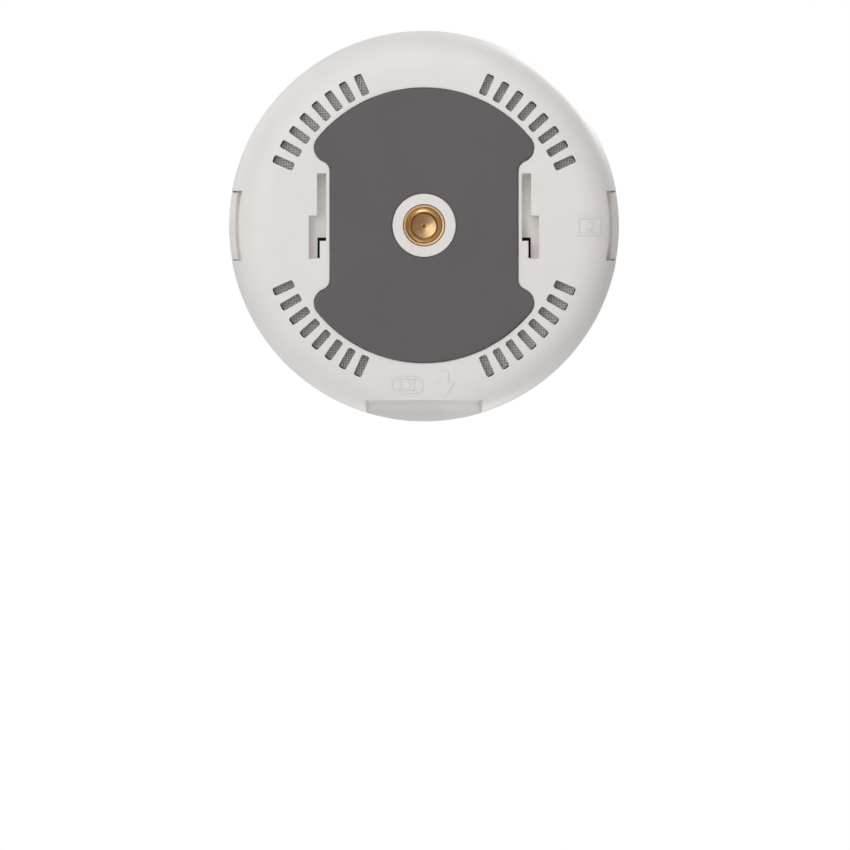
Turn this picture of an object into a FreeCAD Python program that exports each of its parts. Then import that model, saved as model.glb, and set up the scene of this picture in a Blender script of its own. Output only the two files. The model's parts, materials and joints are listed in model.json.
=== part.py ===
"""Baby monitor camera: a round base with a brass tripod insert, a turret that pans on it and a ball head that tilts in the turret's fork.

Frame: +Z up, origin at the centre of the non-slip pad's face, which is what the camera stands on. The lens looks along -Y, the cable recess is at +Y.
Lengths are millimetres. The driving sizes are in the spreadsheet "dims"; sketches, primitives and placements are bound to its cells.
"""

import FreeCAD, Part
import Sketcher
import math
import os

V = FreeCAD.Vector
doc = FreeCAD.newDocument("nursery_camera")
sheet = doc.addObject("Spreadsheet::Sheet", "dims")


class Dim:
    """A number with the spreadsheet expression that makes it."""

    def __init__(self, v, e):
        self.v, self.e = float(v), e

    def __add__(self, o):
        o = as_dim(o)
        return Dim(self.v + o.v, f"({self.e} + {o.e})")

    def __radd__(self, o):
        return as_dim(o) + self

    def __sub__(self, o):
        o = as_dim(o)
        return Dim(self.v - o.v, f"({self.e} - {o.e})")

    def __rsub__(self, o):
        return as_dim(o) - self

    def __mul__(self, o):
        o = as_dim(o)
        return Dim(self.v * o.v, f"({self.e} * {o.e})")

    def __rmul__(self, o):
        return as_dim(o) * self

    def __truediv__(self, o):
        o = as_dim(o)
        return Dim(self.v / o.v, f"({self.e} / {o.e})")

    def __neg__(self):
        return Dim(-self.v, f"(0 - {self.e})")


def as_dim(x):
    return x if isinstance(x, Dim) else Dim(x, f"{x:.6g}" if x >= 0 else f"(0 - {-x:.6g})")


def root(d):
    return Dim(math.sqrt(d.v), f"sqrt({d.e})")


def val(x):
    return x.v if isinstance(x, Dim) else float(x)


ROW = [1]


def dim(name, value, note=""):
    r = ROW[0]
    sheet.set(f"A{r}", note or name)
    sheet.set(f"B{r}", f"{value}")
    sheet.setAlias(f"B{r}", name)
    ROW[0] += 1
    return Dim(value, f"dims.{name}")


# ---------------------------------------------------------------- driving sizes
# base
base_rad = dim("base_rad", 37.0, "base radius")
foot_z = dim("foot_z", 0.4, "height of the cover's flat underside above the pad's face")
edge_rad = dim("edge_rad", 7.5, "round between the underside and the side wall")
plate = dim("plate", 2.0, "thickness of the cover's floor")
rim_rad = dim("rim_rad", 33.6, "inner radius of the cover's rim")
cover_top = dim("cover_top", 9.0, "parting line of the base, cover side")
lip_top = dim("lip_top", 10.6, "top of the cover's locating lip")
lip_rad = dim("lip_rad", 34.9, "outer radius of the locating lip")
part_gap = dim("part_gap", 0.3, "gap at the parting line")
deck_top = dim("deck_top", 26.0, "top of the base housing")
deck_rad = dim("deck_rad", 36.2, "housing radius at its top edge")
hous_wall = dim("hous_wall", 2.0, "housing wall and deck thickness")
# pad
pad_rad = dim("pad_rad", 25.85, "radius of the pad's round ends")
pad_waist = dim("pad_waist", 17.68, "half width of the pad between the hook slots")
pad_lobe = dim("pad_lobe", 2.6, "radius of the pad's four lobes")
pad_cove = dim("pad_cove", 2.05, "radius of the coves beside the waist")
pad_lobe_x = dim("pad_lobe_x", 18.05, "lobe centre from the middle plane")
pad_thick = dim("pad_thick", 1.2, "pad thickness")
pad_gap = dim("pad_gap", 0.12, "gap round the pad in its recess")
boss_rad = dim("boss_rad", 5.96, "radius of the insert's boss")
boss_top = dim("boss_top", 11.0, "top of the insert's boss")
# tripod insert, 1/4 inch 20 threads per inch
ins_rad = dim("ins_rad", 4.0, "insert radius")
ins_low = dim("ins_low", 0.25, "insert face above the pad's face")
ins_high = dim("ins_high", 9.2, "insert top")
ins_bore = dim("ins_bore", 2.8, "thread bore radius")
ins_depth = dim("ins_depth", 7.4, "thread bore depth")
# vents
vent_in = dim("vent_in", 26.95, "vent slot inner radius")
vent_out = dim("vent_out", 31.1, "vent slot outer radius")
vent_wide = dim("vent_wide", 1.55, "vent slot width")
vent_step = dim("vent_step", 6.0, "angle between vent slots, degrees")
vent_first = dim("vent_first", 24.0, "first slot from the front-rear axis, degrees")
# hook slots for a wall bracket
hook_in = dim("hook_in", 18.5, "hook slot inner edge")
hook_mid = dim("hook_mid", 20.15, "hook slot narrow part's outer edge")
hook_out = dim("hook_out", 21.7, "hook slot outer edge")
hook_front = dim("hook_front", 9.77, "hook slot front end, in front of the centre")
hook_step = dim("hook_step", 1.81, "hook slot step, in front of the centre")
hook_tab = dim("hook_tab", 2.92, "hook slot latch tab, behind the centre")
hook_back = dim("hook_back", 6.28, "hook slot rear end")
hook_deep = dim("hook_deep", 3.4, "hook slot floor height")
# rear recess
rec_half = dim("rec_half", 10.65, "half width of the cable recess")
rec_wall = dim("rec_wall", 33.0, "distance of the recess's wall from the centre")
rec_top = dim("rec_top", 17.2, "ceiling of the cable recess")
# side keys
key_half = dim("key_half", 6.3, "half width of a side key")
key_play = dim("key_play", 0.3, "gap round a side key")
key_low = dim("key_low", 5.6, "side key's lower edge")
key_high = dim("key_high", 15.1, "side key's upper edge")
notch_rad = dim("notch_rad", 35.0, "inner radius of the notch under a side key")
key_seat = dim("key_seat", 34.0, "wall behind a side key")
# pan drive
hub_rad = dim("hub_rad", 9.0, "turntable hub radius")
hub_fit = dim("hub_fit", 0.08, "running clearance of the hub")
hub_bore = dim("hub_bore", 6.2, "wire passage through the hub")
gear_mod = dim("gear_mod", 0.75, "pan gear module")
gear_teeth = dim("gear_teeth", 48, "pan gear teeth")
pin_teeth = dim("pin_teeth", 12, "pan pinion teeth")
pan_gap_c = gear_mod * (gear_teeth + pin_teeth) / 2
# turret
tur_low = dim("tur_low", 26.7, "turret's lower edge")
tur_rad = dim("tur_rad", 35.0, "turret radius")
tur_tip = dim("tur_tip", 33.8, "turret radius at the top of its arms")
axis_z = dim("axis_z", 66.0, "height of the tilt axis")
arm_rad = dim("arm_rad", 15.5, "radius of an arm's rounded top")
flare = dim("flare", 24.0, "radius of the coves between the arms and the lip")
bowl_rad = dim("bowl_rad", 29.4, "radius of the seat round the head")
cap_rad = dim("cap_rad", 12.2, "radius of an arm's cap")
cap_thick = dim("cap_thick", 1.6, "thickness of an arm's cap")
# head
ball_rad = dim("ball_rad", 28.6, "head radius")
ball_wall = dim("ball_wall", 1.8, "head wall")
split_y = dim("split_y", 8.0, "head's parting plane, in front of the tilt axis")
face_y = dim("face_y", 19.8, "front edge of the head's front shell")
face_rad = dim("face_rad", 19.3, "radius of the face plate")
face_dome = dim("face_dome", 68.6, "radius of the face plate's dome")
face_tip = dim("face_tip", 22.8, "face plate's front point")
lens_rad = dim("lens_rad", 6.2, "lens barrel radius")
led_ring = dim("led_ring", 12.6, "radius of the ring of infrared LEDs")
led_rad = dim("led_rad", 1.5, "infrared LED radius")
shaft_rad = dim("shaft_rad", 3.96, "tilt shaft radius")
bush_bore = dim("bush_bore", 4.02, "tilt bush bore radius")
tilt_mod = dim("tilt_mod", 0.5, "tilt gear module")
tilt_teeth = dim("tilt_teeth", 36, "fixed tilt gear teeth")
tpin_teeth = dim("tpin_teeth", 12, "tilt pinion teeth")
doc.recompute()

NODES = []


# ---------------------------------------------------------------- helpers
def bind(obj, prop, x):
    if isinstance(x, Dim):
        obj.setExpression(prop, x.e)


def place(obj, pos=(0, 0, 0), rot=None):
    obj.Placement = FreeCAD.Placement(
        V(*[val(p) for p in pos]), rot or FreeCAD.Rotation()
    )
    for axis, p in zip("xyz", pos):
        bind(obj, f"Placement.Base.{axis}", p)
    return obj


ALONG = {
    "z": FreeCAD.Rotation(),
    "x": FreeCAD.Rotation(V(0, 1, 0), 90),
    "-x": FreeCAD.Rotation(V(0, 1, 0), -90),
    "y": FreeCAD.Rotation(V(1, 0, 0), -90),
    "-y": FreeCAD.Rotation(V(1, 0, 0), 90),
}


def cyl(name, rad, high, pos=(0, 0, 0), along="z"):
    o = doc.addObject("Part::Cylinder", name)
    o.Radius, o.Height = val(rad), val(high)
    bind(o, "Radius", rad)
    bind(o, "Height", high)
    return place(o, pos, ALONG[along])


def box(name, lo, hi):
    o = doc.addObject("Part::Box", name)
    for prop, a, b in zip(("Length", "Width", "Height"), lo, hi):
        d = b - a if isinstance(a, Dim) or isinstance(b, Dim) else float(b - a)
        setattr(o, prop, val(d))
        bind(o, prop, d)
    return place(o, lo)


def ball(name, rad, pos):
    o = doc.addObject("Part::Sphere", name)
    o.Radius = val(rad)
    bind(o, "Radius", rad)
    return place(o, pos)


def cone(name, r1, r2, high, pos, along="z"):
    o = doc.addObject("Part::Cone", name)
    o.Radius1, o.Radius2, o.Height = val(r1), val(r2), val(high)
    bind(o, "Radius1", r1)
    bind(o, "Radius2", r2)
    bind(o, "Height", high)
    return place(o, pos, ALONG[along])


def cut(name, base, *tools):
    for n, tool in enumerate(tools):
        o = doc.addObject("Part::Cut", f"{name}_{n}" if n < len(tools) - 1 else name)
        o.Base, o.Tool = base, tool
        base = o
    return base


def fuse(name, *shapes):
    o = doc.addObject("Part::MultiFuse", name)
    o.Shapes = list(shapes)
    o.Refine = True
    return o


def common(name, a, b):
    o = doc.addObject("Part::Common", name)
    o.Base, o.Tool = a, b
    return o


PLANES = {
    "xy": FreeCAD.Rotation(),
    "xz": FreeCAD.Rotation(V(1, 0, 0), 90),
    "yz": FreeCAD.Rotation(V(0.5773502692, 0.5773502692, 0.5773502692), 120),
}
ROLES = {"xy": "XY_Plane", "xz": "XZ_Plane", "yz": "YZ_Plane"}


def outline(name, plane, points, body=None, offset=0, circles=()):
    """A closed sketch. points holds (x, y) or (x, y, radius, side): the edge that arrives there is then an arc, side 1 with its centre on the left of the way."""
    if body is None:
        sk = doc.addObject("Sketcher::SketchObject", name)
        sk.Placement = FreeCAD.Placement(V(0, 0, 0), PLANES[plane])
        if val(offset):
            n = PLANES[plane].multVec(V(0, 0, 1))
            sk.Placement.Base = n * val(offset)
            for axis, c in zip("xyz", (n.x, n.y, n.z)):
                if abs(c) > 0.5 and isinstance(offset, Dim):
                    bind(sk, f"Placement.Base.{axis}", offset * round(c))
    else:
        sk = body.newObject("Sketcher::SketchObject", name)
        origin = [
            f for f in body.Origin.OriginFeatures if f.Role == ROLES[plane]
        ][0]
        sk.AttachmentSupport = (origin, [""])
        sk.MapMode = "FlatFace"
        sk.AttachmentOffset = FreeCAD.Placement(V(0, 0, val(offset)), FreeCAD.Rotation())
        bind(sk, "AttachmentOffset.Base.z", offset)
    pts = [(p[0], p[1]) for p in points]
    n = len(pts)
    ends = []
    for i in range(n):
        p0, p1, nxt = pts[i], pts[(i + 1) % n], points[(i + 1) % n]
        a, b = V(val(p0[0]), val(p0[1]), 0), V(val(p1[0]), val(p1[1]), 0)
        if len(nxt) > 2:
            r, side = val(nxt[2]), nxt[3]
            chord = b - a
            half = chord.Length / 2
            up = V(-chord.y, chord.x, 0).normalize() * side
            c = (a + b) * 0.5 + up * math.sqrt(max(r * r - half * half, 0))
            first, last = (a, b) if side > 0 else (b, a)
            t0 = math.atan2(first.y - c.y, first.x - c.x)
            t1 = math.atan2(last.y - c.y, last.x - c.x)
            if t1 <= t0:
                t1 += 2 * math.pi
            g = sk.addGeometry(Part.ArcOfCircle(Part.Circle(c, V(0, 0, 1), r), t0, t1))
            ends.append((g, 1, 2) if side > 0 else (g, 2, 1))
            k = sk.addConstraint(Sketcher.Constraint("Radius", g, r))
            bind(sk, f"Constraints[{k}]", nxt[2])
        else:
            g = sk.addGeometry(Part.LineSegment(a, b))
            ends.append((g, 1, 2))
    for i in range(n):
        g, s, e = ends[i]
        h, s2, e2 = ends[(i + 1) % n]
        sk.addConstraint(Sketcher.Constraint("Coincident", g, e, h, s2))
    for i in range(n):
        g, s, e = ends[i]
        pin(sk, g, s, pts[i])
    for c in circles:
        g = sk.addGeometry(Part.Circle(V(val(c[0]), val(c[1]), 0), V(0, 0, 1), val(c[2])))
        k = sk.addConstraint(Sketcher.Constraint("Radius", g, val(c[2])))
        bind(sk, f"Constraints[{k}]", c[2])
        pin(sk, g, 3, (c[0], c[1]))
    return sk


def pin(sk, g, pos, p):
    """Fixes a sketch point at p, by its distances from the origin."""
    for kind, x, axis in (("DistanceX", p[0], -2), ("DistanceY", p[1], -1)):
        v = val(x)
        if abs(v) < 1e-9:
            sk.addConstraint(Sketcher.Constraint("PointOnObject", g, pos, axis))
        elif v > 0:
            k = sk.addConstraint(Sketcher.Constraint(kind, -1, 1, g, pos, v))
            bind(sk, f"Constraints[{k}]", x)
        else:
            k = sk.addConstraint(Sketcher.Constraint(kind, g, pos, -1, 1, -v))
            bind(sk, f"Constraints[{k}]", -x if isinstance(x, Dim) else x)


def turned(name, points, pos=None, along="z"):
    """A solid of revolution from an (r, height) outline, about Z or about the named axis through pos."""
    o = doc.addObject("Part::Revolution", name)
    o.Source = outline(name + "_profile", "xz", points)
    o.Axis = V(0, 0, 1)
    o.Base = V(0, 0, 0)
    o.Angle = 360
    o.Solid = True
    if pos is not None:
        place(o, pos, ALONG[along])
    return o


def pulled(name, plane, points, low, high, circles=()):
    """A prism from an outline, from low to high along the plane's normal."""
    sk = outline(name + "_profile", plane, points, None, low, circles)
    o = doc.addObject("Part::Extrusion", name)
    o.Base = sk
    o.DirMode = "Normal"
    d = high - low
    o.LengthFwd = val(d)
    bind(o, "LengthFwd", d)
    o.Solid = True
    return o


def body(name):
    return doc.addObject("PartDesign::Body", name)


def pad(b, name, plane, points, low, high, circles=()):
    sk = outline(name + "_sketch", plane, points, b, low, circles)
    f = b.newObject("PartDesign::Pad", name)
    f.Profile = sk
    d = high - low
    f.Length = val(d)
    bind(f, "Length", d)
    b.Tip = f
    return f


def pocket(b, name, plane, points, low, high, circles=()):
    """Removes the prism between low and high along the plane's normal."""
    sk = outline(name + "_sketch", plane, points, b, low, circles)
    f = b.newObject("PartDesign::Pocket", name)
    f.Profile = sk
    f.Type = 0
    f.Reversed = True
    d = high - low
    f.Length = val(d)
    bind(f, "Length", d)
    b.Tip = f
    return f


def revolve(b, name, points):
    sk = outline(name + "_sketch", "xz", points, b)
    f = b.newObject("PartDesign::Revolution", name)
    f.Profile = sk
    f.ReferenceAxis = (sk, ["V_Axis"])
    f.Angle = 360
    b.Tip = f
    return f


def rounded(b, name, rad, test):
    """Fillets the edges of the body's tip that test accepts."""
    doc.recompute()
    base = b.Tip
    names = [f"Edge{i + 1}" for i, e in enumerate(base.Shape.Edges) if test(e)]
    f = b.newObject("PartDesign::Fillet", name)
    f.Base = (base, names)
    f.Radius = val(rad)
    bind(f, "Radius", rad)
    b.Tip = f
    return f


def eased(name, obj, rad, test):
    """Fillets the edges of obj that test accepts."""
    doc.recompute()
    o = doc.addObject("Part::Fillet", name)
    o.Base = obj
    o.Edges = [(i + 1, rad, rad) for i, e in enumerate(obj.Shape.Edges) if test(e)]
    return o


def made(name, shape, pos=(0, 0, 0), rot=None):
    o = doc.addObject("Part::Feature", name)
    o.Shape = shape if shape.Placement.isIdentity() else Part.makeCompound([shape])
    return place(o, pos, rot)


def node(obj, label):
    obj.Label = label
    NODES.append(obj)
    return obj


def rect(x0, y0, x1, y1):
    return [(x0, y0), (x1, y0), (x1, y1), (x0, y1)]


def prism(points, z0, z1):
    w = Part.makePolygon([V(x, y, z0) for x, y in points] + [V(*points[0], z0)])
    return Part.Face(w).extrude(V(0, 0, z1 - z0))


def gear_shape(mod, teeth, thick, bore, slack=0.09):
    """A spur gear about Z with 25 degree flanks, each flank two chords of the involute."""
    pitch = mod * teeth / 2
    tip, foot = pitch + 0.8 * mod, pitch - 1.15 * mod
    base = pitch * math.cos(math.radians(25))

    def half(r):
        # half the tooth's angle at radius r
        if r < base:
            r = base
        inv = lambda a: math.tan(a) - a
        at_pitch = (math.pi * pitch / teeth / 2 - slack / 2) / pitch
        return at_pitch + inv(math.radians(25)) - inv(math.acos(base / r))

    radii = [foot, max(base, foot) + 0.25 * (pitch - base) if base > foot else (foot + pitch) / 2, pitch + 0.25 * mod, tip]
    pts = []
    for k in range(teeth):
        mid = 2 * math.pi * k / teeth
        for r in radii:
            pts.append((r, mid - half(r)))
        for r in reversed(radii):
            pts.append((r, mid + half(r)))
    ring = [V(r * math.cos(t), r * math.sin(t), 0) for r, t in pts]
    face = Part.Face(Part.makePolygon(ring + [ring[0]]))
    solid = face.extrude(V(0, 0, thick))
    if bore:
        solid = solid.cut(Part.makeCylinder(bore, thick + 2, V(0, 0, -1)))
    return solid


def compound(shapes):
    return Part.makeCompound(shapes)


def stadium(half, tall, mid, y0, y1):
    """A stadium prism along Y: half is half its whole width."""
    r = tall / 2
    mid_box = Part.makeBox(2 * (half - r), y1 - y0, tall, V(-(half - r), y0, mid - r))
    a = Part.makeCylinder(r, y1 - y0, V(half - r, y0, mid), V(0, 1, 0))
    c = Part.makeCylinder(r, y1 - y0, V(-(half - r), y0, mid), V(0, 1, 0))
    return mid_box.fuse(a).fuse(c).removeSplitter()


# ================================================================ base
# ---- bottom cover: a turned shell, with the pad's recess, the insert's boss, the hook slots, the vents and the cable recess
cover_outer = turned(
    "cover_outer",
    [
        (0, foot_z),
        (base_rad - edge_rad, foot_z),
        (base_rad, foot_z + edge_rad, edge_rad, 1),
        (base_rad, cover_top - 0.25),
        (base_rad - 0.25, cover_top),
        (lip_rad, cover_top),
        (lip_rad, lip_top),
        (0, lip_top),
    ],
)
floor_z = foot_z + plate
inner_round = rim_rad - (base_rad - edge_rad)
cover_hollow = turned(
    "cover_hollow",
    [
        (0, floor_z),
        (base_rad - edge_rad, floor_z),
        (rim_rad, floor_z + inner_round, inner_round, 1),
        (rim_rad, lip_top + 1),
        (0, lip_top + 1),
    ],
)
rec_jacket = box(
    "rec_jacket_low",
    (-(rec_half + 1.9), rec_wall - 1.9, 0),
    (rec_half + 1.9, base_rad + 3, lip_top + 2),
)
cover_room = cut("cover_room", cover_hollow, rec_jacket)
cover_shell = cut("cover_shell", cover_outer, cover_room)


def pad_points(grow):
    rr, w, lobe, cove = pad_rad + grow, pad_waist + grow, pad_lobe + grow, pad_cove - grow
    lx = pad_lobe_x
    ly = root((rr - lobe) * (rr - lobe) - lx * lx)
    cx = w + cove
    cy = ly - root((lobe + cove) * (lobe + cove) - (cx - lx) * (cx - lx))
    share = lobe / (lobe + cove)
    t2 = (lx + (cx - lx) * share, ly + (cy - ly) * share)
    t3 = (lx * rr / (rr - lobe), ly * rr / (rr - lobe))
    return [
        (w, -cy, cove, -1),
        (w, cy),
        (t2[0], t2[1], cove, -1),
        (t3[0], t3[1], lobe, 1),
        (-t3[0], t3[1], rr, 1),
        (-t2[0], t2[1], lobe, 1),
        (-w, cy, cove, -1),
        (-w, -cy),
        (-t2[0], -t2[1], cove, -1),
        (-t3[0], -t3[1], lobe, 1),
        (t3[0], -t3[1], rr, 1),
        (t2[0], -t2[1], lobe, 1),
    ]


pad_pit = pulled("pad_pit", "xy", pad_points(pad_gap), as_dim(-1.0), pad_thick)
boss = cyl("insert_boss", boss_rad, boss_top - 0.1, (0, 0, 0.1))
boss_bore = cyl("insert_seat", ins_rad, ins_high + 0.05, (0, 0, 0))


def hook_points(side):
    s = side
    pts = [
        (hook_in * s, -hook_front),
        (hook_mid * s, -hook_front),
        (hook_mid * s, -hook_step),
        (hook_out * s, -hook_step),
        (hook_out * s, hook_back),
        (hook_mid * s, hook_back),
        (hook_mid * s, hook_tab),
        (hook_in * s, hook_tab),
    ]
    return pts if s > 0 else pts[::-1]


hook_cups, hook_pits, hook_gaps = [], [], []
for tag, s in (("right", 1), ("left", -1)):
    lo, hi = sorted((s * (val(hook_in) - 1.3), s * (val(hook_out) + 1.4)))
    hook_cups.append(
        box(
            f"hook_cup_{tag}",
            ((hook_in - 1.3) if s > 0 else -(hook_out + 1.4), -(hook_front + 1.4), floor_z - 0.6),
            ((hook_out + 1.4) if s > 0 else -(hook_in - 1.3), hook_back + 1.4, hook_deep + 1.2),
        )
    )
    hook_pits.append(pulled(f"hook_pit_{tag}", "xy", hook_points(s), as_dim(-1.0), hook_deep))
    gap = [
        (hook_in * s, 2.25),
        (hook_mid * s, 2.25),
        (hook_mid * s, hook_back - 0.1),
        ((hook_mid - 0.45) * s, hook_back - 0.1),
        ((hook_mid - 0.45) * s, hook_tab),
        (hook_in * s, hook_tab),
    ]
    hook_gaps.append(
        pulled(f"hook_gap_{tag}", "xy", gap if s > 0 else gap[::-1], as_dim(-1.0), hook_deep + 3)
    )

# vent slots: four groups of eight, at each quadrant
vents = []
for q in range(4):
    for k in range(8):
        r0, r1, w, c = val(vent_in), val(vent_out), val(vent_wide) / 2, 0.42
        slot = prism([(r0, -w), (r1, -w), (r1, w), (r0, w)], -1, 6)
        slot = slot.makeFillet(c, [e for e in slot.Edges if abs(e.tangentAt(e.FirstParameter).z) > 0.9])
        slot.rotate(V(0, 0, 0), V(0, 0, 1), 90 * q + val(vent_first) + val(vent_step) * k)
        vents.append(slot)
vent_cutters = made("vent_cutters", compound(vents))

col_at = (15.77, 15.77)
spots = [(x * a, y * b) for a, b in ((1, 1), (-1, 1), (-1, -1), (1, -1)) for x, y in (col_at,)]
seats = [cyl(f"screw_seat_{i}", 3.4, 2.6, (x, y, 1.6)) for i, (x, y) in enumerate(spots)]
sinks = [cyl(f"screw_sink_{i}", 2.5, 2.9, (x, y, 0)) for i, (x, y) in enumerate(spots)]
holes = [cyl(f"screw_way_{i}", 1.25, 6.0, (x, y, 0)) for i, (x, y) in enumerate(spots)]
board_posts_at = ((9.0, 28.0), (-9.0, 28.0), (27.85, -5.4), (-27.85, -5.4))
board_posts = [cyl(f"board_post_{i}", 2.0, 7.6, (x, y, 2.0)) for i, (x, y) in enumerate(board_posts_at)]
board_pilots = [cyl(f"board_pilot_{i}", 0.8, 5.0, (x, y, 5.6)) for i, (x, y) in enumerate(board_posts_at)]

rec_cut_low = pulled(
    "rec_cut_low",
    "xz",
    [
        (-(rec_half + 0.75), -1.0),
        (rec_half + 0.75, -1.0),
        (rec_half, cover_top + 0.15),
        (rec_half, lip_top + 1),
        (-rec_half, lip_top + 1),
        (-rec_half, cover_top + 0.15),
    ],
    -(base_rad + 3),
    -rec_wall,
)
key_notches = [
    box("rec_lip_gap", (-(rec_half + 2.3), rec_wall - 2.3, cover_top), (rec_half + 2.3, base_rad + 3, lip_top + 1)),
]
for tag, s in (("right", 1), ("left", -1)):
    lump = cut(
        f"notch_{tag}",
        box(
            f"notch_block_{tag}",
            (25.0 if s > 0 else -42.0, -(key_half + key_play), 0.0),
            (42.0 if s > 0 else -25.0, key_half + key_play, cover_top + 0.5),
        ),
        cyl(f"notch_core_{tag}", notch_rad, 12, (0, 0, -0.5)),
    )
    key_notches.append(lump)
    # the pocket that the key's flange drops into, behind the wall of the notch
    key_notches.append(
        common(
            f"flange_pocket_{tag}",
            cut(
                f"flange_room_{tag}",
                cyl(f"flange_room_out_{tag}", base_rad - 0.75, 4, (0, 0, key_low - 0.18)),
                cyl(f"flange_room_in_{tag}", notch_rad - 0.8, 6, (0, 0, key_low - 1.0)),
            ),
            box(
                f"flange_room_box_{tag}",
                (25.0 if s > 0 else -42.0, -(key_half + key_play + 0.55), key_low - 0.5),
                (42.0 if s > 0 else -25.0, key_half + key_play + 0.55, cover_top + 0.5),
            ),
        )
    )
    key_notches.append(
        box(
            f"lip_gap_{tag}",
            (30.0 if s > 0 else -42.0, -(key_half + 2.3), cover_top),
            (42.0 if s > 0 else -30.0, key_half + 2.3, lip_top + 1),
        )
    )

# moulded marks on the underside: an arrow that says which way is up on a wall, a spirit level, and a screen with a dot by the pairing key
skin = cut(
    "mark_skin",
    turned(
        "mark_skin_out",
        [
            (0, foot_z - 0.14),
            (base_rad - edge_rad, foot_z - 0.14),
            (base_rad + 0.14, foot_z + edge_rad, edge_rad + 0.14, 1),
            (0, foot_z + edge_rad),
        ],
    ),
    turned(
        "mark_skin_in",
        [
            (0, foot_z + 0.3),
            (base_rad - edge_rad, foot_z + 0.3),
            (base_rad - 0.3, foot_z + edge_rad, edge_rad - 0.3, 1),
            (base_rad - 0.3, foot_z + edge_rad + 1),
            (0, foot_z + edge_rad + 1),
        ],
    ),
)


def up_marks():
    """Plan view prisms of the arrow, the level mark and the screen mark."""
    out = []
    ax = 3.85
    arrow = [(ax - 0.75, 27.6), (ax + 0.75, 27.6), (ax + 0.75, 29.8), (ax + 1.75, 29.8), (ax, 32.5), (ax - 1.75, 29.8), (ax - 0.75, 29.8)]
    out.append(prism(arrow, -2, 6))
    # a spirit level: a vial with its bubble between two ticks
    vial = prism(rect(-6.4, 28.5, -0.2, 31.7), -2, 6)
    vial = vial.makeFillet(1.2, [e for e in vial.Edges if abs(e.tangentAt(e.FirstParameter).z) > 0.9])
    room = prism(rect(-5.95, 28.95, -0.65, 31.25), -3, 7)
    room = room.makeFillet(0.8, [e for e in room.Edges if abs(e.tangentAt(e.FirstParameter).z) > 0.9])
    out.append(vial.cut(room))
    out += [prism(rect(x - 0.2, 29.15, x + 0.2, 31.05), -2, 6) for x in (-4.6, -2.0)]
    out.append(Part.makeCylinder(0.72, 8, V(-3.3, 30.1, -2)))
    frame = prism(rect(28.8, -1.7, 33.4, 1.9), -2, 6).cut(prism(rect(29.2, -1.3, 33.0, 1.5), -3, 7))
    out.append(frame)
    out.append(Part.makeCylinder(0.75, 8, V(31.1, 0.1, -2)))
    return compound(out)


marks = common("mark_relief", skin, made("mark_plan", up_marks()))

cover = fuse("cover_body", cut("cover_pitted", cover_shell, pad_pit), boss, *hook_cups, *seats, *board_posts, marks)
cover = cut(
    "cover_cut",
    cover,
    fuse("cover_cutters", boss_bore, *hook_pits, *hook_gaps, *sinks, *holes, *board_pilots, rec_cut_low),
    fuse("notch_cutters", *key_notches),
    vent_cutters,
)


def mouth_edge(e):
    """An edge on the flat underside that bounds the pad's recess or a hook slot."""
    b = e.BoundBox
    flat = abs(b.ZMax - val(foot_z)) < 1e-4 and abs(b.ZMin - val(foot_z)) < 1e-4
    return flat and max(math.hypot(v.X, v.Y) for v in e.Vertexes) < 26.2


cover = eased("cover_eased", cover, 0.2, mouth_edge)
node(cover, "base_bottom_cover")

# ---- non-slip pad
b = body("pad_body")
pad(b, "pad_sheet", "xy", pad_points(as_dim(0.0)), as_dim(0.0), pad_thick)
pocket(b, "pad_hole", "xy", [], as_dim(0.0), pad_thick, [(0, 0, boss_rad + 0.1)])
rounded(b, "pad_round", 0.3, lambda e: all(v.Z < 0.01 for v in e.Vertexes) and e.BoundBox.ZMax < 0.01)
node(b, "non_slip_pad")

# ---- brass tripod insert, blind, with a chamfered mouth
b = body("insert_body")
revolve(
    b,
    "insert_turned",
    [
        (ins_bore + 0.55, ins_low),
        (ins_rad - 0.15, ins_low),
        (ins_rad, ins_low + 0.15),
        (ins_rad, ins_high),
        (0, ins_high),
        (0, ins_low + ins_depth + 0.5),
        (ins_bore, ins_low + ins_depth),
        (ins_bore, ins_low + 0.55),
    ],
)
node(b, "tripod_insert")

# ---- ballast plate: pressed steel, clear of the boss, posts, screws and hook cups
b = body("ballast_body")
ballast_holes = [(0, 0, boss_rad + 0.6)]
ballast_holes += [(x, y, 3.7) for x, y in spots]
pad(b, "ballast_disc", "xy", [], floor_z, floor_z + 2, [(0, 0, 26.2)])
pocket(b, "ballast_holes", "xy", [], as_dim(2.0), as_dim(6.0), ballast_holes)
for tag, s in (("right", 1), ("left", -1)):
    x0, x1 = (hook_in - 1.7, hook_out + 1.8) if s > 0 else (-(hook_out + 1.8), -(hook_in - 1.7))
    pocket(
        b,
        f"ballast_gap_{tag}",
        "xy",
        rect(x0, -(hook_front + 1.8), x1, hook_back + 1.8),
        as_dim(2.0),
        as_dim(6.0),
    )
    pocket(b, f"ballast_nick_{tag}", "xy", rect(s * 25.2 if s > 0 else -28.0, -6.2, 28.0 if s > 0 else -25.2, -1.0), as_dim(2.0), as_dim(6.0))
node(b, "ballast_plate")

# ---- dust screen behind the vents
b = body("screen_body")
pad(b, "screen_ring", "xy", [], as_dim(3.0), as_dim(3.6), [(0, 0, 30.9), (0, 0, 26.5)])
pocket(b, "screen_holes", "xy", [], as_dim(2.5), as_dim(5.0), [(x, y, 2.3) for x, y in board_posts_at])
node(b, "dust_screen")

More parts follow.
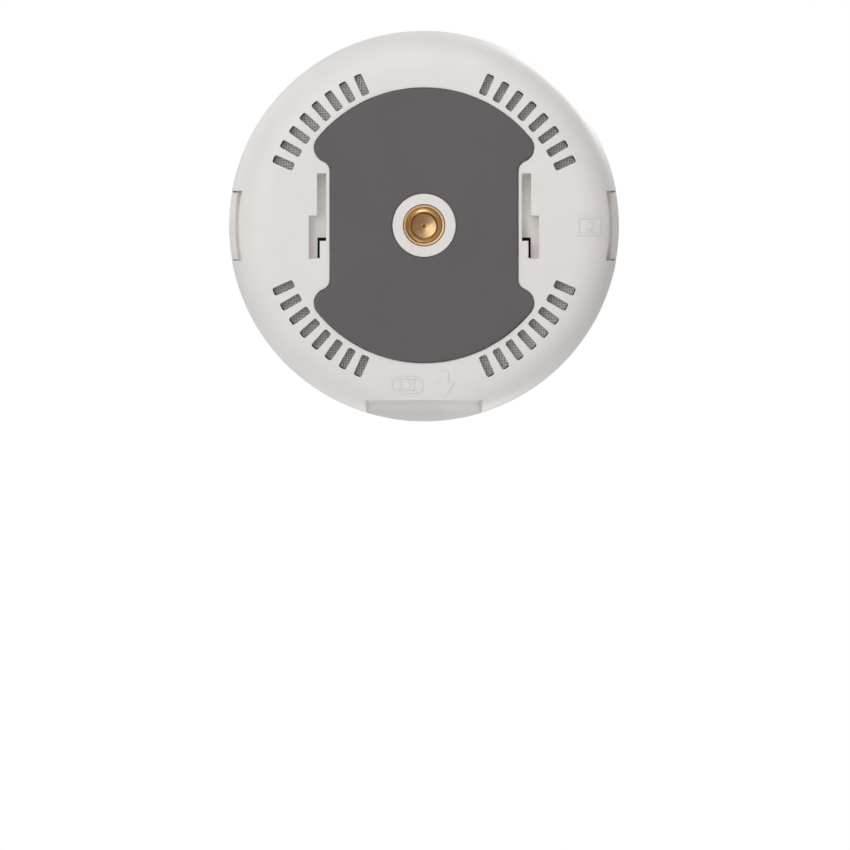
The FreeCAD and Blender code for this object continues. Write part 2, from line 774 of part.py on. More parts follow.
# ---- base housing
house_outer = turned(
    "house_outer",
    [
        (0, cover_top + part_gap),
        (base_rad - 0.25, cover_top + part_gap),
        (base_rad, cover_top + part_gap + 0.25),
        (base_rad, 17.6),
        (deck_rad, deck_top - 1.6),
        (deck_rad - 1.5, deck_top, 1.6, 1),
        (0, deck_top),
    ],
)
house_hollow = turned(
    "house_hollow",
    [
        (0, cover_top - 1),
        (base_rad - hous_wall, cover_top - 1),
        (base_rad - hous_wall, 17.6),
        (deck_rad - hous_wall, deck_top - hous_wall),
        (0, deck_top - hous_wall),
    ],
)
jackets = [
    box("rec_jacket_high", (-(rec_half + 1.9), rec_wall - 1.9, cover_top - 1), (rec_half + 1.9, base_rad + 3, rec_top + 1.9)),
    box("key_jacket_right", (key_seat - 1.8, -(key_half + 2.1), cover_top - 1), (base_rad + 3, key_half + 2.1, key_high + 2.1)),
    box("key_jacket_left", (-(base_rad + 3), -(key_half + 2.1), cover_top - 1), (-(key_seat - 1.8), key_half + 2.1, key_high + 2.1)),
]
house = cut("house_shell", house_outer, cut("house_room", house_hollow, fuse("jackets", *jackets)))
deck_boss = cyl("deck_boss", hub_rad + 2.6, 4.0, (0, 0, 20.5))
columns = [cyl(f"column_{i}", 2.6, 20.2, (x, y, 4.2)) for i, (x, y) in enumerate(spots)]
motor_posts = [cyl(f"motor_post_{i}", 2.4, 8.0, (s * 14.0, -pan_gap_c, 16.4)) for i, s in enumerate((1, -1))]
house = fuse("house_body", house, deck_boss, *columns, *motor_posts)
pilots = [cyl(f"column_pilot_{i}", 1.1, 10.0, (x, y, 4.0)) for i, (x, y) in enumerate(spots)]
pilots += [cyl(f"motor_pilot_{i}", 0.9, 5.4, (s * 14.0, -pan_gap_c, 16.0)) for i, s in enumerate((1, -1))]
house_cutters = fuse(
    "house_cutters",
    cyl("deck_bore", hub_rad + hub_fit, 8, (0, 0, 19.5)),
    *pilots,
    pulled(
        "rec_cut_high",
        "yz",
        [
            (rec_wall, 5.0),
            (base_rad + 3, 5.0),
            (base_rad + 3, rec_top),
            (rec_wall + 2.4, rec_top),
            (rec_wall, rec_top - 2.4, 2.4, 1),
        ],
        -rec_half,
        rec_half,
    ),
    box("key_cut_right", (key_seat, -(key_half + key_play), 5), (base_rad + 3, key_half + key_play, key_high + key_play)),
    box("key_cut_left", (-(base_rad + 3), -(key_half + key_play), 5), (-key_seat, key_half + key_play, key_high + key_play)),
    box("stem_way_right", (30.0, -1.8, 11.3), (36.0, 1.8, 13.7)),
    box("stem_way_left", (-36.0, -1.8, 11.3), (-30.0, 1.8, 13.7)),
)
glide_groove = cut("glide_groove", cyl("glide_groove_out", 30.1, 2, (0, 0, 25.5)), cyl("glide_groove_in", 25.9, 4, (0, 0, 24.5)))
port_way = made("port_way", stadium(4.75, 3.4, 12.85, 30.0, 35.0))
house = cut("house_cut", house, house_cutters, glide_groove, port_way)
node(house, "base_housing")

# ---- inside the base
b = body("main_board_body")
pad(b, "board_disc", "xy", [], as_dim(9.6), as_dim(11.2), [(0, 0, 32.0)])
board_holes = [(0, 0, boss_rad + 0.7)] + [(x, y, 3.1) for x, y in spots] + [(x, y, 1.1) for x, y in board_posts_at]
pocket(b, "board_holes", "xy", [], as_dim(9.0), as_dim(12.0), board_holes)
pocket(b, "board_motor_hole", "xy", [], as_dim(9.0), as_dim(12.0), [(0, -pan_gap_c, 10.8)])
pocket(b, "board_rear", "xy", rect(-(rec_half + 2.3), rec_wall - 2.3, rec_half + 2.3, as_dim(36.0)), as_dim(9.0), as_dim(12.0))
node(b, "main_board")


def screws(name, at, head_rad, head_low, head_high, shank_rad, shank_end, slot=0.55):
    """Pan head screws along Z with a cross recess, all in one feature. Heads from head_low to head_high, shanks to shank_end."""
    out = []
    for x, y in at:
        up = shank_end > head_high
        head = Part.makeCylinder(head_rad, head_high - head_low, V(x, y, head_low))
        face = head_low if up else head_high
        head = head.makeChamfer(0.3, [e for e in head.Edges if e.isClosed() and abs(e.BoundBox.ZMin - face) < 1e-6 and e.BoundBox.XLength > head_rad])
        a, c = (head_high, shank_end) if up else (shank_end, head_low)
        shank = Part.makeCylinder(shank_rad, c - a, V(x, y, a))
        both = head.fuse(shank)
        low = face if up else face - slot
        for w, l in ((0.22, head_rad * 0.62), (head_rad * 0.62, 0.22)):
            both = both.cut(Part.makeBox(2 * w, 2 * l, slot, V(x - w, y - l, low)))
        out.append(both)
    return compound(out)


node(made("cover_screw_set", screws("c", spots, 2.3, 1.3, 2.9, 1.1, 12.0)), "cover_screws")
node(made("board_screw_set", screws("b", board_posts_at, 1.9, 11.2, 12.4, 0.8, 6.2)), "board_screws")

b = body("shield_body")
pad(b, "shield_box", "xy", rect(-23.0, -7.5, -9.5, 7.5), as_dim(11.2), as_dim(13.6))
rounded(b, "shield_round", 0.5, lambda e: e.BoundBox.ZLength > 2)
node(b, "radio_shield")

chips = compound(
    [
        Part.makeBox(8.0, 8.0, 1.1, V(9.4, -4.0, 11.2)),
        Part.makeBox(5.0, 4.0, 1.4, V(9.0, 7.6, 11.2)),
        Part.makeBox(4.0, 3.0, 1.0, V(-20.0, 9.5, 11.2)),
        Part.makeBox(3.2, 1.6, 0.9, V(19.4, -6.5, 11.2)),
        Part.makeBox(3.2, 1.6, 0.9, V(19.4, 2.6, 11.2)),
    ]
)
node(made("chip_set", chips), "board_chips")
can = Part.makeCylinder(3.2, 5.0, V(-5.6, 20.6, 11.2))
can = can.makeFillet(0.4, [e for e in can.Edges if e.isClosed() and e.BoundBox.ZMin > 16])
node(made("capacitor_can", can), "supply_capacitor")
b = body("antenna_body")
pad(b, "antenna_sheet", "yz", [(6.0, 11.2), (19.0, 11.2), (19.0, 19.4), (9.5, 19.4), (9.5, 17.6), (16.5, 17.6), (16.5, 13.0), (6.0, 13.0)], as_dim(21.6), as_dim(22.2))
node(b, "antenna")


jack = stadium(4.47, 3.16, 12.85, 25.4, 32.6).cut(stadium(4.17, 2.56, 12.85, 26.2, 33.5))
jack = jack.fuse(Part.makeBox(6.7, 5.4, 0.7, V(-3.35, 26.0, 12.5)))
node(made("jack_shape", jack), "power_jack")

# ---- pan motor, hung under the deck
b = body("pan_motor_body")
pad(b, "pan_can", "xy", [], as_dim(5.6), as_dim(15.6), [(0, -pan_gap_c, 10.0)])
rounded(b, "pan_can_round", 0.8, lambda e: e.BoundBox.ZLength < 0.01)
pad(
    b,
    "pan_ears",
    "xy",
    [
        (-14.0, -pan_gap_c - 2.7),
        (14.0, -pan_gap_c - 2.7),
        (14.0, -pan_gap_c + 2.7, 2.7, 1),
        (-14.0, -pan_gap_c + 2.7),
        (-14.0, -pan_gap_c - 2.7, 2.7, 1),
    ][1:],
    as_dim(15.4),
    as_dim(16.4),
)
pad(b, "pan_nose", "xy", [], as_dim(16.3), as_dim(16.8), [(0, -pan_gap_c, 3.4)])
pocket(b, "pan_bore", "xy", [], as_dim(8.4), as_dim(17.0), [(0, -pan_gap_c, 1.56)])
pocket(b, "pan_ear_holes", "xy", [], as_dim(15.0), as_dim(17.0), [(14.0, -pan_gap_c, 1.15), (-14.0, -pan_gap_c, 1.15)])
node(b, "pan_motor")
node(made("motor_screw_set", screws("m", [(14.0, -22.5), (-14.0, -22.5)], 1.9, 14.2, 15.4, 0.9, 20.6)), "pan_motor_screws")

b = body("glide_body")
revolve(b, "glide_turned", [(26.0, 25.5), (30.0, 25.5), (30.0, 26.65), (29.8, 26.85), (26.2, 26.85), (26.0, 26.65)])
node(b, "glide_ring")

# ---- side keys and the switches they press
for label, s in (("pair", 1), ("power", -1)):
    lo, hi = (30.0, 40.0) if s > 0 else (-40.0, -30.0)
    plate_box = box(f"{label}_block", (lo, -key_half, 4.0), (hi, key_half, key_high + 1))
    plate_ring = turned(
        f"{label}_ring",
        [
            (notch_rad + 0.3, key_low),
            (notch_rad + 0.75, key_low - 0.45),
            (base_rad - 0.08, key_low + 2.3, 4.0, 1),
            (base_rad - 0.08, key_high - 0.3),
            (base_rad - 0.38, key_high, 0.32, 1),
            (notch_rad + 0.3, key_high),
        ],
    )
    face = common(f"{label}_face", plate_box, plate_ring)
    flange = common(
        f"{label}_flange",
        turned(
            f"{label}_flange_ring",
            [
                (notch_rad - 0.4, key_low),
                (base_rad - 0.95, key_low),
                (base_rad - 0.95, cover_top - 0.6),
                (notch_rad - 0.4, cover_top - 0.6),
            ],
        ),
        box(f"{label}_flange_box", (lo, -(key_half + key_play + 0.35), 4.0), (hi, key_half + key_play + 0.35, key_high)),
    )
    stem = box(f"{label}_stem", (31.1, -1.5, 11.5) if s > 0 else (-35.6, -1.5, 11.5), (35.6, 1.5, 13.5) if s > 0 else (-31.1, 1.5, 13.5))
    node(fuse(f"{label}_key_solid", face, flange, stem), f"{label}_key")
    x0, x1 = (26.4, 30.0) if s > 0 else (-30.0, -26.4)
    sw = Part.makeBox(3.6, 6.0, 2.9, V(min(x0, x1), -3.0, 11.2))
    sw = sw.fuse(Part.makeCylinder(1.1, 0.8, V(30.0 * s, 0, 12.5), V(s, 0, 0)))
    node(made(f"{label}_switch_shape", sw), f"{label}_switch")

# ================================================================ turret
# ---- turntable with its hub, the pan gear and the clip that holds it
b = body("turntable_body")
revolve(
    b,
    "turntable_turned",
    [
        (hub_bore, 15.5),
        (7.5, 15.5),
        (7.8, 15.8),
        (7.8, 16.1),
        (7.2, 16.1),
        (7.2, 17.1),
        (7.8, 17.1),
        (7.8, 20.3),
        (hub_rad, 20.3),
        (hub_rad, 26.9),
        (32.8, 26.9),
        (32.8, 28.9),
        (hub_bore + 1.0, 28.9),
        (hub_bore, 27.9),
    ],
)
tur_spots = [(x * 15.5, y * 15.5) for x, y in ((1, 1), (-1, 1), (-1, -1), (1, -1))]
pocket(b, "turntable_sinks", "xy", [], as_dim(26.0), as_dim(28.05), [(x, y, 2.2) for x, y in tur_spots])
pocket(b, "turntable_ways", "xy", [], as_dim(26.0), as_dim(30.0), [(x, y, 1.2) for x, y in tur_spots])
node(b, "turntable")
node(made("turret_screw_set", screws("t", tur_spots, 2.0, 27.0, 28.05, 1.0, 34.5, 0.5)), "turret_screws")
node(made("pan_gear_shape", gear_shape(0.75, 48, 3.2, 7.8), (0, 0, 17.1)), "pan_gear")
clip = Part.makeCylinder(9.4, 0.9, V(0, 0, 16.15)).cut(Part.makeCylinder(7.22, 3, V(0, 0, 15)))
clip = clip.cut(Part.makeBox(12, 9.0, 3, V(0, -4.5, 15)))
node(made("pan_clip_shape", clip), "pan_clip")


# ---- turret shell: a tapered drum cut to a fork, with a seat round the head
def drum(name, inset):
    top, low = as_dim(84.0), tur_low
    return turned(name, [(0, low), (tur_rad - inset - 0.5, low), (tur_rad - inset, low + 0.5, 0.52, 1), (tur_tip - inset, top), (0, top)])


def fork(name, inset, low):
    a, f, base_z = arm_rad - inset, flare + inset, axis_z - flare - inset
    w = arm_rad + flare
    return pulled(
        name,
        "yz",
        [
            (-w, low),
            (w, low),
            (w, base_z),
            (a, axis_z, f, -1),
            (0, axis_z + a, a, 1),
            (-a, axis_z, a, 1),
            (-w, base_z, f, -1),
        ],
        as_dim(-40.0),
        as_dim(40.0),
    )


fork_out = common("fork_out", drum("drum_out", as_dim(0.0)), fork("fork_cut", as_dim(0.0), as_dim(25.0)))
fork_out = eased("fork_round", fork_out, 1.5, lambda e: e.Curve.TypeId == "Part::GeomBSplineCurve" and e.BoundBox.ZMax > 40)
fork_in = common("fork_in", drum("drum_in", as_dim(1.8)), fork("fork_in_cut", as_dim(1.8), as_dim(25.0)))
fork_room = cut("fork_room", fork_in, ball("bowl_back", bowl_rad + 1.8, (0, 0, axis_z)))
plugs, outs = [], []
for tag, s, way in (("right", 1, "x"), ("left", -1, "-x")):
    plugs.append(common(f"arm_plug_{tag}", cyl(f"arm_plug_rod_{tag}", arm_rad - 1.7, 12, (26.0 * s, 0, axis_z), way), drum(f"drum_plug_{tag}", as_dim(0.0))))
    outs.append(cut(f"cap_pit_{tag}", cyl(f"cap_pit_rod_{tag}", cap_rad + 0.12, 14, (26.0 * s, 0, axis_z), way), drum(f"drum_pit_{tag}", cap_thick)))
    outs.append(cyl(f"arm_pit_{tag}", cap_rad - 1.4, 10, (30.6 * s, 0, axis_z), way))
    outs.append(cyl(f"arm_way_{tag}", shaft_rad + 0.14, 10, (26.0 * s, 0, axis_z), way))
    for z in (-7.6, 7.6):
        outs.append(cyl(f"arm_pilot_{tag}_{'low' if z < 0 else 'high'}", 0.8, 4, (28.85 * s, 0, axis_z + z), way))
    lo, hi = (30.7, 32.3) if s > 0 else (-32.3, -30.7)
    outs.append(box(f"wire_slot_{tag}", (lo, -2.6, 49.0), (hi, 2.6, 58.0)))
tur_posts = [cyl(f"turret_post_{i}", 2.6, 17.0, (x, y, 28.9)) for i, (x, y) in enumerate(tur_spots)]
outs += [cyl(f"turret_pilot_{i}", 1.0, 8.0, (x, y, 27.0)) for i, (x, y) in enumerate(tur_spots)]
shell = fuse("turret_sum", cut("turret_hollow", fork_out, fork_room), *plugs, *tur_posts)
shell = cut("turret_cut", shell, ball("bowl", bowl_rad, (0, 0, axis_z)), fuse("turret_cutters", *outs))
node(shell, "turret_shell")

for tag, s, way in (("right", 1, "x"), ("left", -1, "-x")):
    rod = cyl(f"cap_rod_{tag}", cap_rad, 14, (26.0 * s, 0, axis_z), way)
    cap = cut(f"cap_{tag}", common(f"cap_skin_{tag}", rod, drum(f"drum_cap_{tag}", as_dim(0.0))), drum(f"drum_cap_in_{tag}", cap_thick))
    cap = eased(f"cap_round_{tag}", cap, 0.35, lambda e: e.Curve.TypeId != "Part::GeomLine" and abs(e.CenterOfMass.x) > 32.4)
    node(cap, f"arm_cap_{tag}")

# ---- trunnions: the right one carries the fixed tilt gear, the left one is a tube that the wires pass
right = fuse(
    "trunnion_right_sum",
    cyl("trunnion_right_rod", shaft_rad, 15.6, (16.1, 0, axis_z), "x"),
    cyl("trunnion_right_end", 3.0, 4.0, (12.6, 0, axis_z), "x"),
    box("trunnion_right_plate", (30.6, -4.0, axis_z - 9.9), (31.6, 4.0, axis_z + 9.9)),
)
right = cut("trunnion_right_cut", right, *[cyl(f"trunnion_right_hole_{i}", 1.05, 3, (30.0, 0, axis_z + z), "x") for i, z in enumerate((-7.6, 7.6))])
node(right, "trunnion_right")
left = fuse(
    "trunnion_left_sum",
    cyl("trunnion_left_rod", shaft_rad, 9.2, (-22.4, 0, axis_z), "-x"),
    box("trunnion_left_plate", (-31.6, -4.0, axis_z - 9.9), (-30.6, 4.0, axis_z + 9.9)),
)
left = cut(
    "trunnion_left_cut",
    left,
    cyl("trunnion_left_tube", 2.5, 12, (-21.0, 0, axis_z), "-x"),
    *[cyl(f"trunnion_left_hole_{i}", 1.05, 3, (-30.0, 0, axis_z + z), "-x") for i, z in enumerate((-7.6, 7.6))],
)
node(left, "trunnion_left")

arm_screws = []
for s in (1, -1):
    base_set = screws("a", [(-7.6, 0), (7.6, 0)], 1.8, 0.0, 0.65, 0.8, -2.7, 0.35)
    base_set.rotate(V(0, 0, 0), V(0, 1, 0), 90 * s)
    base_set.translate(V(31.6 * s, 0, 66.0))
    arm_screws.append(base_set)
node(made("arm_screw_set", compound([x for c in arm_screws for x in c.Solids])), "trunnion_screws")
node(made("tilt_gear_shape", gear_shape(0.5, 36, 3.0, 3.0, 0.07), (13.0, 0, axis_z), ALONG["x"]), "tilt_gear")

# ---- pan pinion on its motor's shaft
g = gear_shape(0.75, 12, 3.0, 0)
g.rotate(V(0, 0, 0), V(0, 0, 1), 15)
g = g.fuse(Part.makeCylinder(1.5, 11.6, V(0, 0, -8.4)))
node(made("pan_pinion_shape", g.removeSplitter(), (0, -pan_gap_c, 17.2)), "pan_pinion")

# ================================================================ head
# Outlines below are (distance from the lens axis, distance in front of the tilt axis).
UP = (0, 0, axis_z)


def front(name, points):
    return turned(name, points, UP, "-y")


def rod(name, rad, x, z, h0, h1):
    """A cylinder along the lens axis at (x, z) from the tilt axis, from h0 to h1 in front of it."""
    return cyl(name, rad, h1 - h0, (x, -h0, axis_z + z), "-y")


def across(d, h):
    """Half the chord of a sphere of radius d at distance h."""
    return root(d * d - h * h)


in_rad = ball_rad - ball_wall
seam = split_y - 0.25
ledge_h, ledge_b = as_dim(18.1), as_dim(16.9)
shell_front = front(
    "head_front_turned",
    [
        (across(ball_rad, split_y), split_y),
        (across(ball_rad, face_y), face_y, ball_rad, 1),
        (face_rad + 0.15, face_y),
        (face_rad + 0.15, ledge_h),
        (17.0, ledge_h),
        (17.0, ledge_b),
        (across(in_rad, ledge_b), ledge_b),
        (across(in_rad, as_dim(9.8)), 9.8, in_rad, -1),
        (24.3, 9.2),
        (24.3, 6.2),
        (25.4, 6.2),
        (25.4, split_y),
    ],
)
head_spots = [(0.0, 21.2), (19.0, -9.5), (-19.0, -9.5)]
front_posts = [rod(f"front_post_{i}", 2.6, x, z, split_y, as_dim(15.0)) for i, (x, z) in enumerate(head_spots)]
front_posts = common("front_posts", fuse("front_post_set", *front_posts), ball("front_post_limit", ball_rad - 0.9, UP))
optic_spots = [(18.2 * math.cos(math.radians(a)), 18.2 * math.sin(math.radians(a))) for a in (30, 150, 270)]
front_cuts = [rod(f"front_pilot_{i}", 1.0, x, z, as_dim(7.0), as_dim(13.8)) for i, (x, z) in enumerate(head_spots)]
front_cuts += [cyl(f"tongue_way_{t}", 7.9, 3.0, (23.0 * s, 0, axis_z), w) for t, s, w in (("right", 1, "x"), ("left", -1, "-x"))]
front_cuts += [rod(f"ledge_pilot_{i}", 0.7, x, z, as_dim(16.0), as_dim(17.9)) for i, (x, z) in enumerate(optic_spots)]
shell_front = eased("head_front_round", shell_front, 0.45, lambda e: abs(e.BoundBox.YMax + 19.8) < 0.02 and e.BoundBox.ZLength > 40)
node(cut("head_front_cut", fuse("head_front_sum", shell_front, front_posts), fuse("head_front_cutters", *front_cuts)), "head_front_shell")

shell_rear = front(
    "head_rear_turned",
    [
        (0, -ball_rad),
        (across(ball_rad, seam), seam, ball_rad, 1),
        (across(in_rad, seam), seam),
        (0, -in_rad, in_rad, -1),
    ],
)
rear_adds = [rod(f"rear_tube_{i}", 2.9, x, z, as_dim(-20.5), split_y) for i, (x, z) in enumerate(head_spots)]
rear_adds += [cyl(f"rear_boss_{t}", 7.6, 5.0, (24.4 * s, 0, axis_z), w) for t, s, w in (("right", 1, "x"), ("left", -1, "-x"))]
tilt_c = tilt_mod * (tilt_teeth + tpin_teeth) / 2 * 0.70710678
ears = [(0.0, 2.0), (2.0, 0.0)]
ear_spots = [(tilt_c * a, tilt_c * c) for a, c in ears]
rear_adds += [cyl(f"ear_post_{i}", 2.1, 12.0, (12.0, y, axis_z + z), "x") for i, (y, z) in enumerate(ear_spots)]
rear_adds.append(cut("speaker_rim", rod("speaker_rim_out", 13.3, 0, 0, as_dim(-26.0), as_dim(-17.6)), rod("speaker_rim_in", 12.1, 0, 0, as_dim(-27.0), as_dim(-17.0))))
rear_sum = common("rear_adds", fuse("rear_add_set", *rear_adds), ball("rear_limit", ball_rad - 0.5, UP))
rear_cuts = [rod(f"rear_sink_{i}", 2.1, x, z, as_dim(-26.0), as_dim(-13.5)) for i, (x, z) in enumerate(head_spots)]
rear_cuts += [rod(f"rear_way_{i}", 1.2, x, z, as_dim(-14.0), as_dim(9.0)) for i, (x, z) in enumerate(head_spots)]
rear_cuts += [cyl(f"bush_way_{t}", 5.6, 8.0, (23.0 * s, 0, axis_z), w) for t, s, w in (("right", 1, "x"), ("left", -1, "-x"))]
rear_cuts += [cyl(f"ear_pilot_{i}", 0.8, 6.0, (11.0, y, axis_z + z), "x") for i, (y, z) in enumerate(ear_spots)]
grille = []
for ring, (rr, count) in enumerate(((0.0, 1), (2.6, 6), (5.2, 12), (7.8, 18), (10.4, 24))):
    for k in range(count):
        a = 2 * math.pi * (k + 0.5 * (ring % 2)) / count
        grille.append(Part.makeCylinder(0.6, 10, V(rr * math.cos(a), 22.0, 66.0 + rr * math.sin(a)), V(0, 1, 0)))
rear_grille = made("grille_cutters", compound(grille))
node(cut("head_rear_cut", fuse("head_rear_sum", shell_rear, rear_sum), fuse("head_rear_cutters", *rear_cuts), rear_grille), "head_rear_shell")

# ---- face plate, a domed dark window with a hole for the lens and one for the microphone
dome_c = face_dome - face_tip
inner_dome = face_dome - 1.8
face = front(
    "face_turned",
    [
        (7.6, across(inner_dome, as_dim(7.6)) - dome_c),
        (face_rad, across(inner_dome, face_rad) - dome_c, inner_dome, -1),
        (face_rad, across(face_dome, face_rad) - dome_c),
        (7.6, across(face_dome, as_dim(7.6)) - dome_c, face_dome, 1),
    ],
)
face = eased("face_round", face, 0.35, lambda e: e.BoundBox.ZLength > 38 and abs(e.BoundBox.YMax - e.BoundBox.YMin) < 0.01 and e.BoundBox.YMax < -19.5)
node(cut("face_cut", face, rod("face_mic_hole", 0.5, 0, -14.6, as_dim(15.0), as_dim(24.0))), "face_plate")

node(
    front(
        "trim_turned",
        [
            (6.3, 17.8),
            (7.4, 17.8),
            (7.4, 19.4),
            (8.8, 19.4),
            (8.8, 20.35),
            (7.5, 20.35),
            (7.5, 22.9),
            (7.0, 23.4, 0.5, 1),
            (6.75, 23.4),
            (6.3, 22.7),
        ],
    ),
    "lens_trim",
)
node(
    front(
        "barrel_turned",
        [
            (3.0, 10.6),
            (lens_rad, 10.6),
            (lens_rad, 22.1),
            (lens_rad - 0.2, 22.3),
            (5.5, 22.3),
            (5.0, 21.2),
            (5.0, 18.4),
            (3.0, 18.4),
        ],
    ),
    "lens_barrel",
)
lens_dome = dim("lens_dome", 10.2, "radius of the front lens's outer face")
lens_half = dim("lens_half", 4.97, "front lens radius")
node(
    front(
        "lens_turned",
        [(0, 18.4), (lens_half, 18.4), (lens_half, 20.4), (0, 20.4 + lens_dome - across(lens_dome, lens_half), lens_dome, 1)],
    ),
    "front_lens",
)

carrier = fuse(
    "carrier_sum",
    box("carrier_box", (-7.8, -13.0, axis_z - 7.8), (7.8, -9.2, axis_z + 7.8)),
    rod("carrier_tube", 7.3, 0, 0, as_dim(13.2), as_dim(17.5)),
    rod("carrier_disc", 16.2, 0, 0, as_dim(12.6), as_dim(13.8)),
    *[rod(f"carrier_ear_{i}", 2.4, x, z, as_dim(12.6), as_dim(13.8)) for i, (x, z) in enumerate(optic_spots)],
    *[rod(f"carrier_post_{i}", 1.8, x, z, as_dim(13.6), as_dim(15.7)) for i, (x, z) in enumerate(optic_spots)],
    *[rod(f"carrier_foot_{i}", 1.8, s * 9.2, 0, as_dim(9.2), as_dim(13.0)) for i, s in enumerate((1, -1))],
)
carrier = cut(
    "carrier_cut",
    carrier,
    rod("carrier_bore", lens_rad, 0, 0, as_dim(10.6), as_dim(18.0)),
    box("carrier_room", (-4.5, -10.7, axis_z - 4.5), (4.5, -9.0, axis_z + 4.5)),
    *[rod(f"carrier_hole_{i}", 0.9, x, z, as_dim(12.0), as_dim(16.0)) for i, (x, z) in enumerate(optic_spots)],
    *[rod(f"carrier_pilot_{i}", 0.7, s * 9.2, 0, as_dim(9.0), as_dim(12.4)) for i, s in enumerate((1, -1))],
)
node(carrier, "lens_carrier")

sensor_pcb = box("sensor_pcb", (-11.0, -9.2, axis_z - 11.0), (11.0, -8.0, axis_z + 11.0))
sensor_pcb = cut("sensor_pcb_cut", sensor_pcb, *[rod(f"sensor_hole_{i}", 0.85, s * 9.2, 0, as_dim(7.0), as_dim(10.0)) for i, s in enumerate((1, -1))])
node(sensor_pcb, "sensor_board")
node(box("sensor_chip", (-3.2, -10.0, axis_z - 2.6), (3.2, -9.2, axis_z + 2.6)), "image_sensor")


def toward(shape):
    """Turns a shape drawn about Z, with z as the distance in front of the tilt axis, into the head."""
    shape.rotate(V(0, 0, 0), V(1, 0, 0), 90)
    shape.translate(V(0, 0, 66.0))
    return shape


# screws for the optics are drawn about Z: (x, y) there is (x, up) on the head
node(made("sensor_screw_set", toward(screws("s", [(9.2, 0.0), (-9.2, 0.0)], 1.4, 7.2, 8.0, 0.7, 12.2, 0.4))), "sensor_screws")
node(made("optic_screw_set", toward(screws("o", optic_spots, 1.5, 11.7, 12.6, 0.7, 17.8, 0.4))), "optics_screws")
node(made("head_screw_set", toward(screws("h", head_spots, 1.9, -15.1, -13.5, 1.0, 13.6))), "head_screws")

led_pcb = cut(
    "led_pcb_cut",
    rod("led_pcb", 19.0, 0, 0, as_dim(15.7), as_dim(16.9)),
    rod("led_pcb_hole", 8.4, 0, 0, as_dim(15.0), as_dim(18.0)),
    *[rod(f"led_pcb_way_{i}", 0.9, x, z, as_dim(15.0), as_dim(18.0)) for i, (x, z) in enumerate(optic_spots)],
)
node(led_pcb, "led_board")
leds = []
for k in range(8):
    a = math.radians(22.5 + 45 * k)
    x, y = 12.6 * math.cos(a), 12.6 * math.sin(a)
    lamp = Part.makeCylinder(1.75, 0.5, V(x, y, 16.9)).fuse(Part.makeCylinder(1.5, 0.9, V(x, y, 17.3)))
    lamp = lamp.fuse(Part.makeSphere(1.5, V(x, y, 18.2), V(0, 0, 1), 0, 90, 360))
    leds.append(lamp.removeSplitter())
node(made("led_set", toward(compound(leds))), "infrared_leds")
node(made("light_sensor_shape", toward(Part.makeBox(2.4, 2.0, 0.9, V(-1.2, 14.0, 16.9)))), "light_sensor")
node(made("status_shape", toward(Part.makeBox(1.6, 0.8, 0.7, V(14.2, -0.4, 16.9)))), "status_light")
mic = Part.makeCylinder(1.9, 1.4, V(0, -14.6, 16.9)).cut(Part.makeCylinder(0.35, 2, V(0, -14.6, 17.9)))
node(made("mic_shape", toward(mic)), "microphone")

b = body("speaker_body")
node(
    front(
        "speaker_turned",
        [
            (0, -18.6),
            (7.0, -18.6),
            (7.0, -19.4),
            (12.0, -20.2),
            (12.0, -22.6),
            (11.0, -22.9),
            (9.4, -22.4),
            (4.2, -20.9),
            (3.6, -21.3),
            (0, -21.9),
        ][::-1],
    ),
    "speaker",
)
doc.removeObject(b.Name)

for tag, s, way in (("right", 1, "x"), ("left", -1, "-x")):
    bush = cut(
        f"bush_{tag}",
        fuse(f"bush_sum_{tag}", cyl(f"bush_rod_{tag}", 5.6, 5.0, (23.4 * s, 0, axis_z), way), cyl(f"bush_flange_{tag}", 6.1, 1.0, (23.4 * s, 0, axis_z), way)),
        cyl(f"bush_bore_{tag}", bush_bore, 8.0, (22.0 * s, 0, axis_z), way),
    )
    node(bush, f"tilt_bush_{tag}")

# ---- tilt motor with its two ears, on the rear shell's posts
ty = tilt_c
motor = fuse(
    "tilt_motor_sum",
    cyl("tilt_can", 8.0, 13.4, (-2.0, ty, axis_z + ty), "x"),
    cyl("tilt_nose", 2.6, 0.5, (12.0, ty, axis_z + ty), "x"),
    *[cyl(f"tilt_ear_{i}", 2.6, 0.8, (11.2, y, axis_z + z), "x") for i, (y, z) in enumerate(ear_spots)],
    made("tilt_ear_bar", Part.makeBox(0.8, 17.0 * math.sqrt(2), 5.2, V(0, -17.0 * math.sqrt(2) / 2, -2.6)), (11.2, ty, axis_z + ty), FreeCAD.Rotation(V(1, 0, 0), -45)),
)
motor = cut(
    "tilt_motor_cut",
    motor,
    cyl("tilt_bore", 1.05, 9.5, (3.6, ty, axis_z + ty), "x"),
    *[cyl(f"tilt_ear_hole_{i}", 1.0, 4.0, (10.0, y, axis_z + z), "x") for i, (y, z) in enumerate(ear_spots)],
)
node(motor, "tilt_motor")
ear_set = screws("e", [(0.0, 16.9705627), (-16.9705627, 0.0)], 1.7, -1.0, 0.0, 0.8, 5.4, 0.45)
# drawn about Z with x as down and y as back, then laid along X
ear_set.rotate(V(0, 0, 0), V(0, 1, 0), 90)
ear_set.translate(V(11.2, 0, 66.0))
node(made("tilt_screw_set", ear_set), "tilt_motor_screws")

g = gear_shape(0.5, 12, 3.0, 0, 0.07)
g.rotate(V(0, 0, 0), V(0, 0, 1), 15)
g = g.fuse(Part.makeCylinder(1.0, 12.2, V(0, 0, -9.0))).removeSplitter()
node(made("tilt_pinion_shape", g, (13.0, ty, axis_z + ty), ALONG["x"]), "tilt_pinion")

